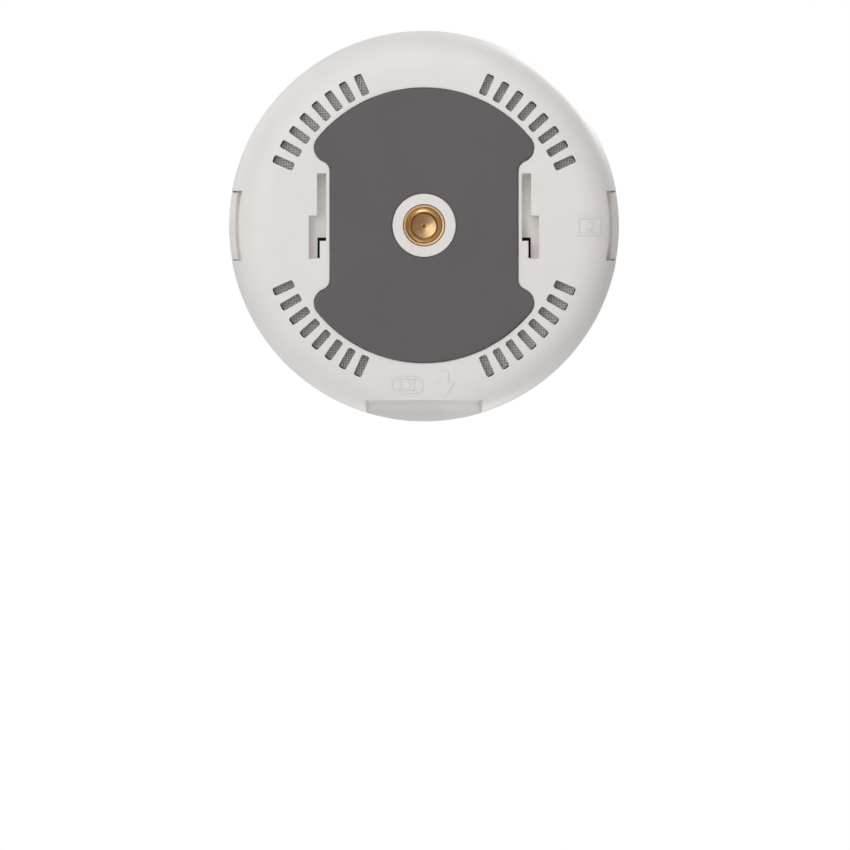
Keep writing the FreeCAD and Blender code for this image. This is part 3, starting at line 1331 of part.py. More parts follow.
# ================================================================ export
doc.recompute()
bad = [o.Name for o in doc.Objects if "Invalid" in o.State or "Error" in o.State or "RecomputeError" in o.State]
if bad:
    raise RuntimeError("not computed: " + ", ".join(bad))
os.makedirs("parts", exist_ok=True)
labels = [o.Label for o in NODES]
if len(set(labels)) != len(labels):
    raise RuntimeError("two sub-parts share a label")
for o in NODES:
    shape = o.Shape
    if shape.isNull() or not shape.isValid() or shape.Volume <= 0:
        raise RuntimeError(f"{o.Label} has no valid solid")
    shape.exportStep(f"parts/{o.Label}.step")
    print(f"{o.Label}: {len(shape.Solids)} solids, {shape.Volume:.1f} mm3, z {shape.BoundBox.ZMin:.2f} to {shape.BoundBox.ZMax:.2f}")
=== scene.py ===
"""Looks of the baby monitor camera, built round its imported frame. Metres, +Z up, the lens looks along -Y."""
import json
import math

import bpy
import bmesh
from mathutils import Matrix, Vector


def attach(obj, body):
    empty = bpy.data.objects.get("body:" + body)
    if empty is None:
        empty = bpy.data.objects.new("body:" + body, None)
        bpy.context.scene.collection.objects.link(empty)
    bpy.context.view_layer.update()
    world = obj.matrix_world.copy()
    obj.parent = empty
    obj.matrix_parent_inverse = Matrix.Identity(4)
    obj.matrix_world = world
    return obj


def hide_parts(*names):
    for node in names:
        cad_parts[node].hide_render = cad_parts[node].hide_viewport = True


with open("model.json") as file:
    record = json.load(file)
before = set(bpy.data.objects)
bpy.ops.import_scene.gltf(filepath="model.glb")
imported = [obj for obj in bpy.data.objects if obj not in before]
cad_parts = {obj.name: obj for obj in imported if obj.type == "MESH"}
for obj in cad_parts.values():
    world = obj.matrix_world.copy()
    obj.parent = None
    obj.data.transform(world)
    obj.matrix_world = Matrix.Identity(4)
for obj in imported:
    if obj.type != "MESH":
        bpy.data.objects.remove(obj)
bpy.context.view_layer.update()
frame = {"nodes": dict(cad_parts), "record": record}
nodes = frame["nodes"]
MM = 0.001


# ------------------------------------------------------------------ material kit
class Tree:
    """A small builder for one procedural material."""

    def __init__(self, name):
        self.mat = bpy.data.materials.new(name)
        self.mat.use_nodes = True
        self.nt = self.mat.node_tree
        self.nt.nodes.clear()
        self.out = self.nt.nodes.new("ShaderNodeOutputMaterial")
        self.bsdf = self.nt.nodes.new("ShaderNodeBsdfPrincipled")
        self.link(self.bsdf.outputs[0], self.out.inputs["Surface"])
        self.coord = self.nt.nodes.new("ShaderNodeTexCoord").outputs["Object"]

    def link(self, a, b):
        self.nt.links.new(a, b)

    def node(self, kind, **props):
        n = self.nt.nodes.new(kind)
        for k, v in props.items():
            setattr(n, k, v)
        return n

    def scaled(self, sx, sy=None, sz=None, vec=None):
        m = self.node("ShaderNodeMapping")
        m.inputs["Scale"].default_value = (sx, sy or sx, sz or sx)
        self.link(vec or self.coord, m.inputs["Vector"])
        return m.outputs[0]

    def noise(self, scale, detail=3.0, rough=0.55, vec=None, distort=0.0):
        n = self.node("ShaderNodeTexNoise")
        n.inputs["Scale"].default_value = scale
        n.inputs["Detail"].default_value = detail
        n.inputs["Roughness"].default_value = rough
        n.inputs["Distortion"].default_value = distort
        self.link(vec or self.coord, n.inputs["Vector"])
        return n.outputs["Fac"]

    def voronoi(self, scale, feature="F1", vec=None, out="Distance"):
        n = self.node("ShaderNodeTexVoronoi", feature=feature)
        n.inputs["Scale"].default_value = scale
        self.link(vec or self.coord, n.inputs["Vector"])
        return n.outputs[out]

    def math(self, op, a, b=0.0, clamp=False):
        n = self.node("ShaderNodeMath", operation=op, use_clamp=clamp)
        for i, x in enumerate((a, b)):
            if hasattr(x, "links"):
                self.link(x, n.inputs[i])
            else:
                n.inputs[i].default_value = x
        return n.outputs[0]

    def remap(self, fac, lo, hi, a=0.0, b=1.0):
        n = self.node("ShaderNodeMapRange")
        self.link(fac, n.inputs["Value"])
        for key, v in (("From Min", lo), ("From Max", hi), ("To Min", a), ("To Max", b)):
            n.inputs[key].default_value = v
        return n.outputs[0]

    def mix(self, fac, a, b, blend="MIX"):
        n = self.node("ShaderNodeMix", data_type="RGBA", blend_type=blend)
        for sock, x in ((n.inputs[0], fac), (n.inputs[6], a), (n.inputs[7], b)):
            if hasattr(x, "links"):
                self.link(x, sock)
            else:
                sock.default_value = x if isinstance(x, float) else (*x, 1.0)
        return n.outputs[2]

    def edge_wear_and_highlight_mask(self, radius=2.2e-4, lo=0.03, hi=0.22):
        """One on hard edges and nothing on flats, from how far a rounded normal leans off the true one. It marks edges
        for wear and for a painted highlight.
        """
        n = self.node("ShaderNodeBevel", samples=4)
        n.inputs["Radius"].default_value = radius
        g = self.node("ShaderNodeNewGeometry")
        d = self.node("ShaderNodeVectorMath", operation="DOT_PRODUCT")
        self.link(n.outputs[0], d.inputs[0])
        self.link(g.outputs["Normal"], d.inputs[1])
        return self.remap(self.math("SUBTRACT", 1.0, d.outputs["Value"]), lo, hi)

    def bump(self, height, strength, distance, normal=None):
        n = self.node("ShaderNodeBump")
        n.inputs["Strength"].default_value = strength
        n.inputs["Distance"].default_value = distance
        self.link(height, n.inputs["Height"])
        if normal is not None:
            self.link(normal, n.inputs["Normal"])
        return n.outputs[0]

    def edge(self, radius):
        """Softens the light across hard edges by radius metres."""
        n = self.node("ShaderNodeBevel", samples=6)
        n.inputs["Radius"].default_value = radius
        return n.outputs[0]

    def set(self, **kw):
        names = {
            "color": "Base Color", "rough": "Roughness", "metal": "Metallic", "spec": "Specular IOR Level", "ior": "IOR",
            "coat": "Coat Weight", "coat_rough": "Coat Roughness", "trans": "Transmission Weight", "normal": "Normal",
            "sss": "Subsurface Weight", "sss_scale": "Subsurface Scale", "aniso": "Anisotropic", "sheen": "Sheen Weight",
            "film": "Thin Film Thickness", "film_ior": "Thin Film IOR",
        }
        for k, v in kw.items():
            sock = self.bsdf.inputs[names[k]]
            if hasattr(v, "links"):
                self.link(v, sock)
            elif isinstance(v, tuple):
                sock.default_value = (*v, 1.0)
            else:
                sock.default_value = v
        return self


def lin(r, g, b):
    """Linear colour from 8 bit screen values."""
    f = lambda c: c / 12.92 if c <= 0.04045 else ((c + 0.055) / 1.055) ** 2.4
    return tuple(f(c / 255) for c in (r, g, b))


def tint(c, k):
    return tuple(min(1.0, x * k) for x in c)


def moulded(name, rgb, rough=0.42, grain=7.5e3, depth=1.2e-5, strength=0.28, cloud=0.03, spec=0.5, coat=0.0, edge_wear_and_highlight=0.35, soft=1.6e-4, sss=0.0):
    """Moulded plastic: spark-eroded grain, faint flow clouds, a little polish on the edges that hands touch, and a
    lighter colour on those edges that is partly wear and partly painted highlight.
    """
    t = Tree(name)
    cloudy = t.noise(38.0, 4.0, 0.6, distort=0.6)
    flow = t.noise(160.0, 2.0, 0.5, vec=t.scaled(1.0, 1.0, 0.25))
    fac = t.math("ADD", t.math("MULTIPLY", cloudy, 0.65), t.math("MULTIPLY", flow, 0.35))
    base = t.mix(t.remap(fac, 0.3, 0.7), tint(rgb, 1 - cloud), tint(rgb, 1 + cloud))
    # hard edges: less rough from wear, and a lighter colour that is partly wear and partly a painted highlight
    edge = t.math("MULTIPLY", t.edge_wear_and_highlight_mask(), edge_wear_and_highlight)
    base = t.mix(edge, base, tint(rgb, 1.06))
    specks = t.remap(t.voronoi(900.0), 0.02, 0.05, 0.035, 0.0)
    base = t.mix(specks, base, tint(rgb, 0.78))
    fine = t.noise(grain, 2.0, 0.6)
    cell = t.voronoi(grain * 0.55, "SMOOTH_F1")
    height = t.math("ADD", t.math("MULTIPLY", fine, 0.55), t.math("MULTIPLY", cell, 0.6))
    r = t.remap(t.noise(70.0, 5.0, 0.65), 0.25, 0.75, rough - 0.05, rough + 0.06)
    r = t.math("SUBTRACT", r, t.math("MULTIPLY", edge, 0.12))
    r = t.math("ADD", r, t.math("MULTIPLY", fine, 0.05))
    t.set(color=base, rough=r, spec=spec, coat=coat, sss=sss, sss_scale=0.0012)
    if coat:
        t.set(coat_rough=0.12)
    t.set(normal=t.bump(height, strength, depth, t.edge(soft) if soft else None))
    return t.mat


def polished(name, rgb, rough=0.07, edge_wear_and_highlight=0.2, dust=0.25, trans=0.0, soft=1.2e-4):
    """Polished plastic: wipe marks and a few hairlines in the gloss, a little dust."""
    t = Tree(name)
    wipe = t.noise(60.0, 6.0, 0.7, vec=t.scaled(1.0, 1.0, 3.0), distort=1.5)
    hair = t.remap(t.noise(2400.0, 1.0, 0.4, vec=t.scaled(1.0, 0.05, 0.35)), 0.66, 0.72)
    specks = t.remap(t.voronoi(620.0), 0.015, 0.035, 1.0, 0.0)
    base = t.mix(t.math("MULTIPLY", specks, dust), rgb, tuple(x * 0.5 + 0.08 for x in rgb))
    base = t.mix(t.math("MULTIPLY", wipe, 0.05), base, tuple(x * 0.6 + 0.02 for x in rgb))
    r = t.math("ADD", t.remap(wipe, 0.3, 0.8, rough, rough + 0.07), t.math("MULTIPLY", hair, 0.08))
    r = t.math("ADD", r, t.math("MULTIPLY", specks, 0.2))
    t.set(color=base, rough=r, spec=0.5, ior=1.49, trans=trans)
    wavy = t.noise(90.0, 2.0, 0.5)
    t.set(normal=t.bump(wavy, 0.03, 2e-4, t.edge(soft) if soft else None))
    return t.mat


def metal(name, rgb, rough=0.3, brush=(1.0, 1.0, 18.0), strength=0.25, tarnish=None, spots=0.15, aniso=0.3, soft=8e-5):
    """Bare or plated metal: tool lines along one way, handling marks, spots of tarnish."""
    t = Tree(name)
    lines = t.noise(1500.0, 3.0, 0.65, vec=t.scaled(*brush))
    blot = t.noise(260.0, 5.0, 0.65, distort=0.8)
    base = t.mix(t.remap(blot, 0.42, 0.72), rgb, tarnish or tint(rgb, 0.72))
    base = t.mix(t.math("MULTIPLY", lines, 0.18), base, tint(rgb, 1.15))
    dot = t.remap(t.voronoi(1300.0), 0.03, 0.08, spots, 0.0)
    base = t.mix(dot, base, tint(rgb, 0.35))
    # hard edges painted brighter: partly rubbed-through metal, partly a painted highlight
    edge = t.edge_wear_and_highlight_mask(1.2e-4)
    base = t.mix(t.math("MULTIPLY", edge, 0.5), base, tint(rgb, 1.25))
    r = t.math("ADD", t.remap(lines, 0.3, 0.7, rough - 0.07, rough + 0.09), t.remap(blot, 0.4, 0.7, 0.0, 0.1))
    t.set(color=base, rough=r, metal=1.0, aniso=aniso)
    t.set(normal=t.bump(lines, strength, 8e-6, t.edge(soft) if soft else None))
    return t.mat


def rubber(name, rgb):
    """Non-slip elastomer: soft sheen, fine tooth, lint and pale scuffs."""
    t = Tree(name)
    blot = t.noise(55.0, 5.0, 0.6, distort=0.5)
    base = t.mix(t.remap(blot, 0.3, 0.72), tint(rgb, 0.93), tint(rgb, 1.08))
    lint = t.remap(t.noise(1900.0, 2.0, 0.7, vec=t.scaled(1.0, 0.12, 1.0), distort=2.0), 0.7, 0.76, 0.0, 0.16)
    base = t.mix(lint, base, tint(rgb, 2.1))
    scuff = t.remap(t.noise(210.0, 6.0, 0.75, distort=1.0), 0.62, 0.78, 0.0, 0.14)
    base = t.mix(scuff, base, tint(rgb, 1.6))
    # a paler rim on hard edges: partly rubbed wear, partly a painted highlight
    edge = t.math("MULTIPLY", t.edge_wear_and_highlight_mask(), 0.3)
    base = t.mix(edge, base, tint(rgb, 1.35))
    tooth = t.noise(5200.0, 3.0, 0.7)
    cell = t.voronoi(3600.0, "SMOOTH_F1")
    height = t.math("ADD", tooth, t.math("MULTIPLY", cell, 0.8))
    r = t.remap(blot, 0.3, 0.7, 0.62, 0.74)
    t.set(color=base, rough=r, spec=0.42, sheen=0.12)
    t.set(normal=t.bump(height, 0.35, 2.2e-5, t.edge(1.8e-4)))
    return t.mat


def board(name, rgb):
    """Circuit board: solder resist over copper runs, vias and pads, glass weave under it."""
    t = Tree(name)
    brick = t.node("ShaderNodeTexBrick", offset=0.37, squash=1.0)
    brick.inputs["Scale"].default_value = 190.0
    brick.inputs["Mortar Size"].default_value = 0.022
    brick.inputs["Mortar Smooth"].default_value = 0.1
    brick.inputs["Brick Width"].default_value = 1.7
    brick.inputs["Row Height"].default_value = 0.23
    t.link(t.coord, brick.inputs["Vector"])
    runs = brick.outputs["Fac"]
    base = t.mix(runs, rgb, tint(rgb, 2.1))
    vias = t.remap(t.voronoi(430.0), 0.1, 0.13, 1.0, 0.0)
    base = t.mix(t.math("MULTIPLY", vias, 0.85), base, (0.58, 0.55, 0.47))
    weave = t.node("ShaderNodeTexWave", wave_type="BANDS", bands_direction="DIAGONAL")
    weave.inputs["Scale"].default_value = 1200.0
    t.link(t.coord, weave.inputs["Vector"])
    base = t.mix(t.math("MULTIPLY", weave.outputs["Fac"], 0.12), base, tint(rgb, 0.6))
    metalness = t.math("MULTIPLY", vias, 0.9)
    t.set(color=base, rough=t.remap(t.noise(400.0, 3.0), 0.3, 0.7, 0.24, 0.4), metal=metalness)
    height = t.math("ADD", t.math("MULTIPLY", runs, 0.7), t.math("MULTIPLY", vias, -0.5))
    t.set(normal=t.bump(height, 0.4, 3e-5, t.edge(6e-5)))
    return t.mat


def epoxy(name, rgb, trans=0.0, rough=0.12):
    """Cast epoxy: small bubbles and a faint skin."""
    t = Tree(name)
    bubbles = t.remap(t.voronoi(2600.0), 0.05, 0.1, 1.0, 0.0)
    base = t.mix(t.math("MULTIPLY", bubbles, 0.25), rgb, tint(rgb, 1.5))
    t.set(color=base, rough=t.remap(t.noise(300.0, 4.0), 0.3, 0.7, rough, rough + 0.08), trans=trans, ior=1.5)
    t.set(normal=t.bump(t.noise(900.0, 2.0), 0.06, 3e-5))
    return t.mat


def coated_glass(name):
    """Lens glass with a coating that throws violet and green."""
    t = Tree(name)
    ring = t.noise(120.0, 2.0, 0.4)
    base = t.mix(t.remap(ring, 0.35, 0.65), (0.62, 0.6, 0.82), (0.55, 0.72, 0.68))
    smear = t.remap(t.noise(240.0, 6.0, 0.7, distort=1.0), 0.5, 0.8, 0.004, 0.03)
    t.set(color=base, rough=smear, trans=1.0, ior=1.62, film=380.0, film_ior=1.38)
    t.set(normal=t.bump(t.noise(60.0, 1.0), 0.01, 1e-4))
    return t.mat


def woven(name, rgb):
    """Screen cloth: threads both ways, with painted shade in the gaps between them."""
    t = Tree(name)
    bands = []
    for way in ("X", "Y"):
        w = t.node("ShaderNodeTexWave", wave_type="BANDS", bands_direction=way)
        w.inputs["Scale"].default_value = 640.0
        w.inputs["Distortion"].default_value = 0.4
        t.link(t.coord, w.inputs["Vector"])
        bands.append(w.outputs["Fac"])
    thread = t.math("MAXIMUM", bands[0], bands[1])
    # the gaps between threads are painted dark: painted shade where the threads cross and part
    base = t.mix(t.remap(thread, 0.35, 0.95), tint(rgb, 0.50), tint(rgb, 1.04))
    lint = t.remap(t.noise(900.0, 4.0, 0.7), 0.6, 0.75, 0.0, 0.15)
    base = t.mix(lint, base, tint(rgb, 1.1))
    t.set(color=base, rough=0.7, spec=0.3)
    t.set(normal=t.bump(thread, 0.6, 1.2e-4))
    return t.mat


WHITE = lin(233, 229, 226)
MATS = {
    "base_shell": moulded("base_shell_plastic", WHITE, 0.44),
    "turret_shell": moulded("turret_shell_plastic", WHITE, 0.40, grain=8.0e3),
    "head_shell": moulded("head_shell_plastic", tint(WHITE, 1.01), 0.34, grain=9.0e3, strength=0.2),
    "key_plastic": moulded("key_plastic", tint(WHITE, 0.985), 0.36, grain=9.0e3, strength=0.18, edge_wear_and_highlight=0.6),
    "cap_plastic": moulded("cap_plastic", tint(WHITE, 0.975), 0.27, grain=1.0e4, strength=0.12, coat=0.15),
    "pad_rubber": rubber("pad_rubber", lin(96, 92, 93)),
    "insert_brass": metal("insert_brass", (0.82, 0.57, 0.31), 0.31, brush=(1, 1, 22), strength=0.06, tarnish=(0.74, 0.48, 0.24), spots=0.04, aniso=0.0),
    "plated_steel": metal("plated_steel", (0.62, 0.63, 0.65), 0.36, brush=(1, 12, 1)),
    "circuit_board": board("circuit_board", (0.012, 0.10, 0.045)),
    "screen_plastic": woven("screen_plastic", lin(226, 226, 226)),
    "tinned_can": metal("tinned_can", (0.70, 0.70, 0.69), 0.3, brush=(10, 1, 1)),
    "black_epoxy": moulded("black_epoxy", (0.018, 0.018, 0.02), 0.5, cloud=0.2, strength=0.4),
    "capacitor_can": metal("capacitor_can", (0.75, 0.76, 0.78), 0.22, brush=(1, 1, 20)),
    "tinned_strip": metal("tinned_strip", (0.74, 0.73, 0.70), 0.28),
    "jack_steel": metal("jack_steel", (0.60, 0.61, 0.63), 0.25, brush=(1, 16, 1)),
    "screw_steel": metal("screw_steel", (0.55, 0.56, 0.58), 0.3, brush=(1, 1, 14)),
    "motor_steel": metal("motor_steel", (0.56, 0.57, 0.58), 0.32, brush=(1, 1, 16)),
    "glide_plastic": polished("glide_plastic", lin(226, 228, 230), 0.25),
    "switch_black": moulded("switch_black", (0.022, 0.022, 0.024), 0.45, cloud=0.2),
    "acetal": moulded("acetal", lin(212, 211, 207), 0.33, strength=0.15),
    "gear_plastic": moulded("gear_plastic", lin(224, 219, 204), 0.36, strength=0.2),
    "clip_steel": metal("clip_steel", (0.36, 0.36, 0.38), 0.4),
    "trunnion_plastic": moulded("trunnion_plastic", (0.035, 0.035, 0.038), 0.5, cloud=0.15),
    "pinion_brass": metal("pinion_brass", (0.78, 0.56, 0.30), 0.28),
    "face_window": polished("face_window", (0.010, 0.009, 0.012), 0.035, dust=0.12),
    "trim_plastic": polished("trim_plastic", (0.035, 0.035, 0.038), 0.22),
    "barrel_aluminium": metal("barrel_aluminium", (0.055, 0.055, 0.06), 0.36, brush=(1, 20, 1), spots=0.05),
    "lens_glass": coated_glass("lens_glass"),
    "carrier_plastic": moulded("carrier_plastic", (0.02, 0.02, 0.022), 0.55, cloud=0.15),
    "sensor_die": epoxy("sensor_die", (0.07, 0.09, 0.15), rough=0.06),
    "led_epoxy": epoxy("led_epoxy", (0.30, 0.31, 0.36), trans=0.5),
    "sensor_epoxy": epoxy("sensor_epoxy", (0.55, 0.55, 0.58), trans=0.6),
    "status_epoxy": epoxy("status_epoxy", (0.82, 0.84, 0.74), rough=0.3),
    "mic_can": metal("mic_can", (0.6, 0.6, 0.62), 0.3),
    "speaker_frame": metal("speaker_frame", (0.12, 0.12, 0.13), 0.42),
}
slot_of = {s["node"]: s["material_slot"] for s in frame["record"]["subparts"]}
for name, obj in nodes.items():
    obj.data.materials.clear()
    obj.data.materials.append(MATS[slot_of[name]])


# ------------------------------------------------------------------ finer pieces, in millimetres in the row frame
def piece(name, verts, faces, body, stands_for, finish, crisp=35.0):
    """One mesh from points in millimetres, welded, turned outwards and shown in place of the nodes it stands for."""
    mesh = bpy.data.meshes.new(name)
    mesh.from_pydata([tuple(c * MM for c in v) for v in verts], [], faces)
    b = bmesh.new()
    b.from_mesh(mesh)
    bmesh.ops.remove_doubles(b, verts=b.verts, dist=2e-7)
    bmesh.ops.dissolve_degenerate(b, edges=b.edges, dist=1e-8)
    bmesh.ops.recalc_face_normals(b, faces=b.faces)
    b.to_mesh(mesh)
    b.free()
    mesh.shade_smooth()
    mesh.set_sharp_from_angle(angle=math.radians(crisp))
    o = bpy.data.objects.new(name, mesh)
    bpy.context.scene.collection.objects.link(o)
    mesh.materials.append(MATS[finish])
    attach(o, body)
    if stands_for:
        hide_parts(*stands_for)
    return o


def threaded_insert():
    """Knurled brass sleeve, blind, tapped a quarter of an inch at twenty turns an inch."""
    around, teeth = 200, 40
    low, mouth, top = 0.25, 3.3, 9.2
    pitch, root_r, crest_r = 1.27, 3.175, 2.53
    start, end = 0.78, 7.0
    shape = [
        (-0.0625, root_r), (0.0, root_r), (0.0625, root_r), (0.14, root_r - 0.16), (0.26, root_r - 0.41),
        (0.36, crest_r + 0.03), (0.40, crest_r), (0.5, crest_r), (0.60, crest_r), (0.64, crest_r + 0.03),
        (0.74, root_r - 0.41), (0.86, root_r - 0.16),
    ]

    def tooth(j):
        return (4.0, 3.98, 3.84, 3.80, 3.84)[j % 5]

    rows = []
    for r, z in ((3.3, top), (3.62, top - 0.06)):
        rows.append([(r, z)] * around)
    rows.append([(tooth(j) - 0.02, top - 0.34) for j in range(around)])
    for z in (7.4, 5.6, 3.8, 2.0, 0.8):
        rows.append([(tooth(j), z) for j in range(around)])
    rows.append([(tooth(j), low + 0.16) for j in range(around)])
    rows.append([(min(tooth(j), 3.93), low + 0.06) for j in range(around)])
    rows.append([(min(tooth(j), 3.84) - 0.02, low) for j in range(around)])
    rows.append([(3.55, low)] * around)
    rows.append([(3.48, low + 0.012)] * around)
    rows.append([(3.36, low + 0.36)] * around)
    rows.append([(mouth, start)] * around)
    verts, faces = [], []

    def put(r, z, j):
        a = 2 * math.pi * j / around
        verts.append((r * math.cos(a), r * math.sin(a), z))
        return len(verts) - 1

    ids = [[put(r, z, j) for j, (r, z) in enumerate(row)] for row in rows]
    for a, b in zip(ids, ids[1:]):
        for j in range(around):
            k = (j + 1) % around
            faces.append((a[j], a[k], b[k], b[j]))
    turns = int((end - start) / pitch) + 3
    per = len(shape)
    levels = [(t + u, r) for t in range(turns) for u, r in shape]
    grid = []
    for u, r in levels:
        line = []
        for j in range(around):
            z = start + pitch * (u + j / around - 1.2)
            zz = min(max(z, start), end)
            rr = max(r, mouth - (zz - start) * 0.95)
            rr = min(rr, max(crest_r + (end - zz) * 0.75, crest_r)) if zz > end - 1.2 else rr
            if z <= start:
                rr = mouth
            if z >= end:
                rr = crest_r
            line.append(put(rr, zz, j))
        grid.append(line)
    for i in range(len(grid) - 1):
        for j in range(around):
            if j < around - 1:
                faces.append((grid[i][j], grid[i][j + 1], grid[i + 1][j + 1], grid[i + 1][j]))
            elif i + per + 1 < len(grid):
                faces.append((grid[i][j], grid[i + per][0], grid[i + per + 1][0], grid[i + 1][j]))
    # the drilled bottom, with the marks the drill left
    bottom = [(crest_r, end), (crest_r, 7.55), (2.46, 7.62)]
    r, k = 2.3, 0
    while r > 0.42:
        bottom.append((r, 7.68 + (2.46 - r) * 0.19 + (0.008 if k % 2 else -0.008)))
        r, k = r - 0.115, k + 1
    bottom += [(0.36, 8.05), (0.2, 8.22)]
    rings = [[put(r, z, j) for j in range(around)] for r, z in bottom]
    for a, b in zip(rings, rings[1:]):
        for j in range(around):
            k = (j + 1) % around
            faces.append((a[j], a[k], b[k], b[j]))
    for centre, ring in ((put(0, 8.32, 0), rings[-1]), (put(0, top, 0), ids[0])):
        for j in range(around):
            faces.append((centre, ring[j], ring[(j + 1) % around]))
    return piece("tripod_insert_threaded", verts, faces, "base", ["tripod_insert"], "insert_brass", 28.0)


def relief(name, polygons, high=0.175, sunk=0.15, step=0.3):
    """A raised mark that follows the cover's flat underside and the round beyond it. Polygons are convex plan outlines."""
    def surface(x, y):
        r = math.hypot(x, y)
        return 0.4 if r <= 29.5 else 0.4 + 7.5 - math.sqrt(7.5**2 - (r - 29.5) ** 2)

    b = bmesh.new()
    for poly in polygons:
        b.faces.new([b.verts.new((x, y, 0.0)) for x, y in poly])
    bmesh.ops.remove_doubles(b, verts=b.verts, dist=1e-4)
    xs, ys = [v.co.x for v in b.verts], [v.co.y for v in b.verts]
    for axis, lo, hi in ((0, min(xs), max(xs)), (1, min(ys), max(ys))):
        for i in range(1, int((hi - lo) / step) + 1):
            at, way = [0.0, 0.0, 0.0], [0.0, 0.0, 0.0]
            at[axis], way[axis] = lo + i * step + 0.013, 1.0
            bmesh.ops.bisect_plane(b, geom=b.verts[:] + b.edges[:] + b.faces[:], plane_co=at, plane_no=way, dist=1e-5)
    flat = b.faces[:]
    made = bmesh.ops.extrude_face_region(b, geom=flat)["geom"]
    upper = {v for v in made if isinstance(v, bmesh.types.BMVert)}
    lower = [v for v in b.verts if v not in upper]
    for v in upper:
        v.co.z = surface(v.co.x, v.co.y) - high
    for v in lower:
        v.co.z = surface(v.co.x, v.co.y) + sunk
    b.verts.index_update()
    verts = [tuple(v.co) for v in b.verts]
    faces = [[v.index for v in f.verts] for f in b.faces]
    b.free()
    return piece(name, verts, faces, "base", [], "base_shell", 40.0)


def ring_of(x0, y0, x1, y1, t):
    """A rectangular frame as four mitred bars."""
    o = [(x0, y0), (x1, y0), (x1, y1), (x0, y1)]
    i = [(x0 + t, y0 + t), (x1 - t, y0 + t), (x1 - t, y1 - t), (x0 + t, y1 - t)]
    return [[o[k], o[(k + 1) % 4], i[(k + 1) % 4], i[k]] for k in range(4)]


relief("up_arrow_relief", [[(3.07, 27.57), (4.63, 27.57), (4.63, 29.77), (3.07, 29.77)], [(2.04, 29.77), (3.07, 29.77), (4.63, 29.77), (5.66, 29.77), (3.85, 32.56)]])
dot = [(31.1 + 0.78 * math.cos(math.tau * k / 28), 0.1 + 0.78 * math.sin(math.tau * k / 28)) for k in range(28)]
relief("screen_mark_relief", ring_of(28.77, -1.73, 33.43, 1.93, 0.46))
relief("screen_dot_relief", [dot])
insert = threaded_insert()
bm = bmesh.new()
bm.from_mesh(insert.data)
open_edges = [e for e in bm.edges if len(e.link_faces) != 2]
assert not open_edges, f"insert is open at {len(open_edges)} edges"
bm.free()


# ------------------------------------------------------------------ stage
def paint(name, build):
    m = bpy.data.materials.new(name)
    m.use_nodes = True
    build(m.node_tree)
    return m


def floor_nodes(nt):
    nt.nodes.clear()
    out = nt.nodes.new("ShaderNodeOutputMaterial")
    mixer = nt.nodes.new("ShaderNodeMixShader")
    diff = nt.nodes.new("ShaderNodeBsdfDiffuse")
    glow = nt.nodes.new("ShaderNodeEmission")
    diff.inputs[0].default_value = (0.60, 0.60, 0.61, 1)
    glow.inputs[0].default_value = (1.0, 1.0, 1.0, 1)
    coord = nt.nodes.new("ShaderNodeTexCoord")
    grad = nt.nodes.new("ShaderNodeTexGradient")
    grad.gradient_type = "SPHERICAL"
    mapping = nt.nodes.new("ShaderNodeMapping")
    mapping.inputs["Scale"].default_value = (1.6, 1.6, 1.6)
    ramp = nt.nodes.new("ShaderNodeMapRange")
    ramp.inputs["From Min"].default_value = 0.0
    ramp.inputs["From Max"].default_value = 0.6
    ramp.inputs["To Min"].default_value = 1.0
    ramp.inputs["To Max"].default_value = 0.0
    ln = nt.links.new
    ln(coord.outputs["Object"], mapping.inputs[0])
    ln(mapping.outputs[0], grad.inputs[0])
    ln(grad.outputs["Fac"], ramp.inputs["Value"])
    ln(ramp.outputs[0], mixer.inputs[0])
    ln(diff.outputs[0], mixer.inputs[1])
    ln(glow.outputs[0], mixer.inputs[2])
    ln(mixer.outputs[0], out.inputs[0])


FLOOR_Z = -0.2 * MM
bm = bmesh.new()
bmesh.ops.create_circle(bm, cap_ends=True, segments=96, radius=1.6)
mesh = bpy.data.meshes.new("floor")
bm.to_mesh(mesh)
bm.free()
floor = bpy.data.objects.new("floor", mesh)
floor.location.z = FLOOR_Z
mesh.materials.append(paint("floor_white", floor_nodes))
bpy.context.scene.collection.objects.link(floor)
for ray in ("diffuse", "glossy", "transmission", "volume_scatter", "shadow"):
    setattr(floor, f"visible_{ray}", False)

# world: white behind the object, a dimmer graded sky for light
world = bpy.data.worlds.new("studio")
bpy.context.scene.world = world
world.use_nodes = True
nt = world.node_tree
nt.nodes.clear()
out = nt.nodes.new("ShaderNodeOutputWorld")
seen = nt.nodes.new("ShaderNodeBackground")
sky = nt.nodes.new("ShaderNodeBackground")
pick = nt.nodes.new("ShaderNodeMixShader")
path = nt.nodes.new("ShaderNodeLightPath")
seen.inputs[0].default_value = (1, 1, 1, 1)
seen.inputs[1].default_value = 1.0
coord = nt.nodes.new("ShaderNodeTexCoord")
split = nt.nodes.new("ShaderNodeSeparateXYZ")
ramp = nt.nodes.new("ShaderNodeMapRange")
ramp.inputs["From Min"].default_value = -1.0
ramp.inputs["From Max"].default_value = 1.0
ramp.inputs["To Min"].default_value = 0.62
ramp.inputs["To Max"].default_value = 0.20
sky.inputs[1].default_value = 1.0
comb = nt.nodes.new("ShaderNodeCombineColor")
nt.links.new(coord.outputs["Generated"], split.inputs[0])
nt.links.new(split.outputs["X"], ramp.inputs["Value"])
for i in range(3):
    nt.links.new(ramp.outputs[0], comb.inputs[i])
nt.links.new(comb.outputs[0], sky.inputs[0])
nt.links.new(path.outputs["Is Camera Ray"], pick.inputs[0])
nt.links.new(sky.outputs[0], pick.inputs[1])
nt.links.new(seen.outputs[0], pick.inputs[2])
nt.links.new(pick.outputs[0], out.inputs[0])


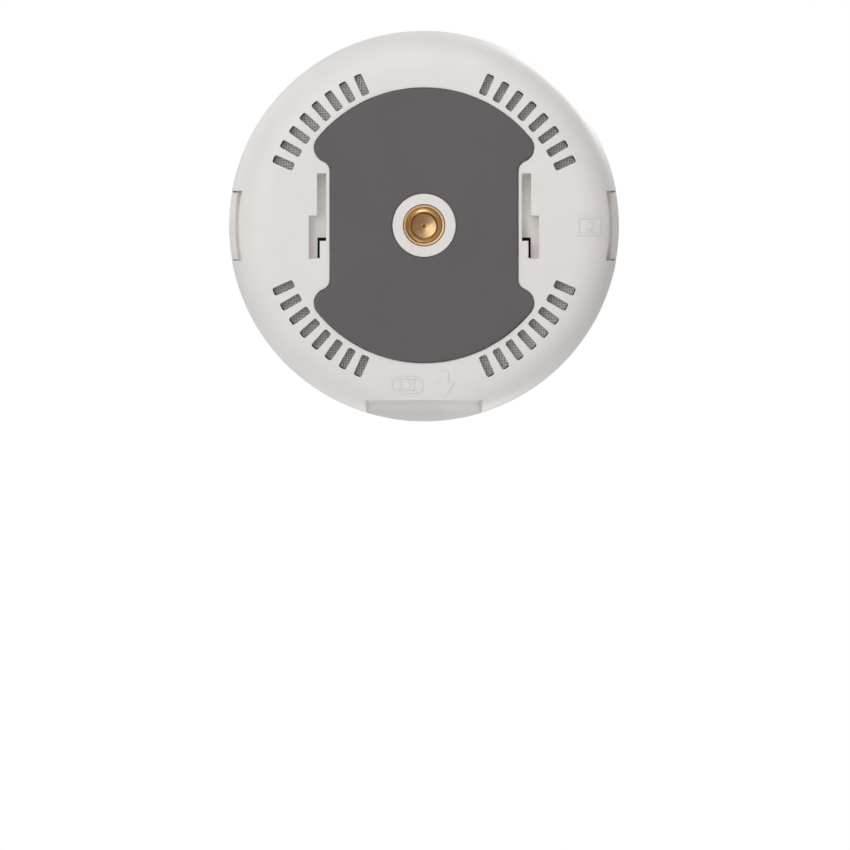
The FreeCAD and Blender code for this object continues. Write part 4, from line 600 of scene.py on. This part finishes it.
def lamp(name, loc, target, size, watts, color=(1, 1, 1), spread=180):
    data = bpy.data.lights.new(name, "AREA")
    data.shape = "RECTANGLE"
    data.size, data.size_y = size
    data.energy = watts
    data.color = color
    data.spread = math.radians(spread)
    o = bpy.data.objects.new(name, data)
    o.location = loc
    o.rotation_euler = (Vector(target) - Vector(loc)).to_track_quat("-Z", "Y").to_euler()
    bpy.context.scene.collection.objects.link(o)
    o.visible_camera = False
    return o


lamp("under_key", (-0.25, -0.15, -0.45), (0, 0, 0), (0.3, 0.3), 0.54, (1.0, 0.985, 0.975))
lamp("under_front", (-0.20, -0.14, -0.80), (0, 0, 0), (0.42, 0.42), 0.42, (1.0, 0.985, 0.975))
lamp("under_near", (0.0, -0.22, -0.16), (0, 0, 0), (0.16, 0.16), 0.19, (1.0, 0.99, 0.985))
lamp("under_fill", (0.10, 0.40, -0.30), (0, 0, 0), (0.3, 0.3), 0.66, (0.985, 0.99, 1.0))
side = lamp("side_right", (0.60, -0.10, -0.10), (0, 0, 0.01), (0.4, 0.4), 0.32)
side.visible_glossy = False
lamp("top_key", (0.50, -0.50, 0.70), (0, 0, 0.05), (0.42, 0.42), 5.6, (1.0, 0.985, 0.97))
lamp("top_fill", (-0.7, -0.30, 0.55), (0, 0, 0.05), (0.6, 0.6), 1.3, (0.96, 0.98, 1.0))
lamp("top_rim", (0.1, 0.8, 0.6), (0, 0, 0.06), (0.6, 0.4), 3.4)

scene = bpy.context.scene
scene.view_settings.view_transform = "Standard"
scene.view_settings.look = "None"
scene.view_settings.exposure = 0.0
scene.view_settings.gamma = 1.0

# ------------------------------------------------------------------ camera: square on to the underside, from far off
DIST = 2.0
WIDE = 850 / 5.3 * MM
cam_data = bpy.data.cameras.new("camera")
cam_data.sensor_width = 36.0
cam_data.lens = 36.0 * DIST / WIDE
cam_data.clip_start = DIST + FLOOR_Z + 0.00008
cam_data.clip_end = 10.0
cam = bpy.data.objects.new("camera", cam_data)
px, py = 424.1, 225.3
cam.matrix_world = Matrix.Translation(((425 - px) / 5.3 * MM, (425 - py) / 5.3 * MM, -DIST)) @ Matrix(
    ((1, 0, 0, 0), (0, -1, 0, 0), (0, 0, -1, 0), (0, 0, 0, 1))
)
scene.collection.objects.link(cam)
scene.camera = cam
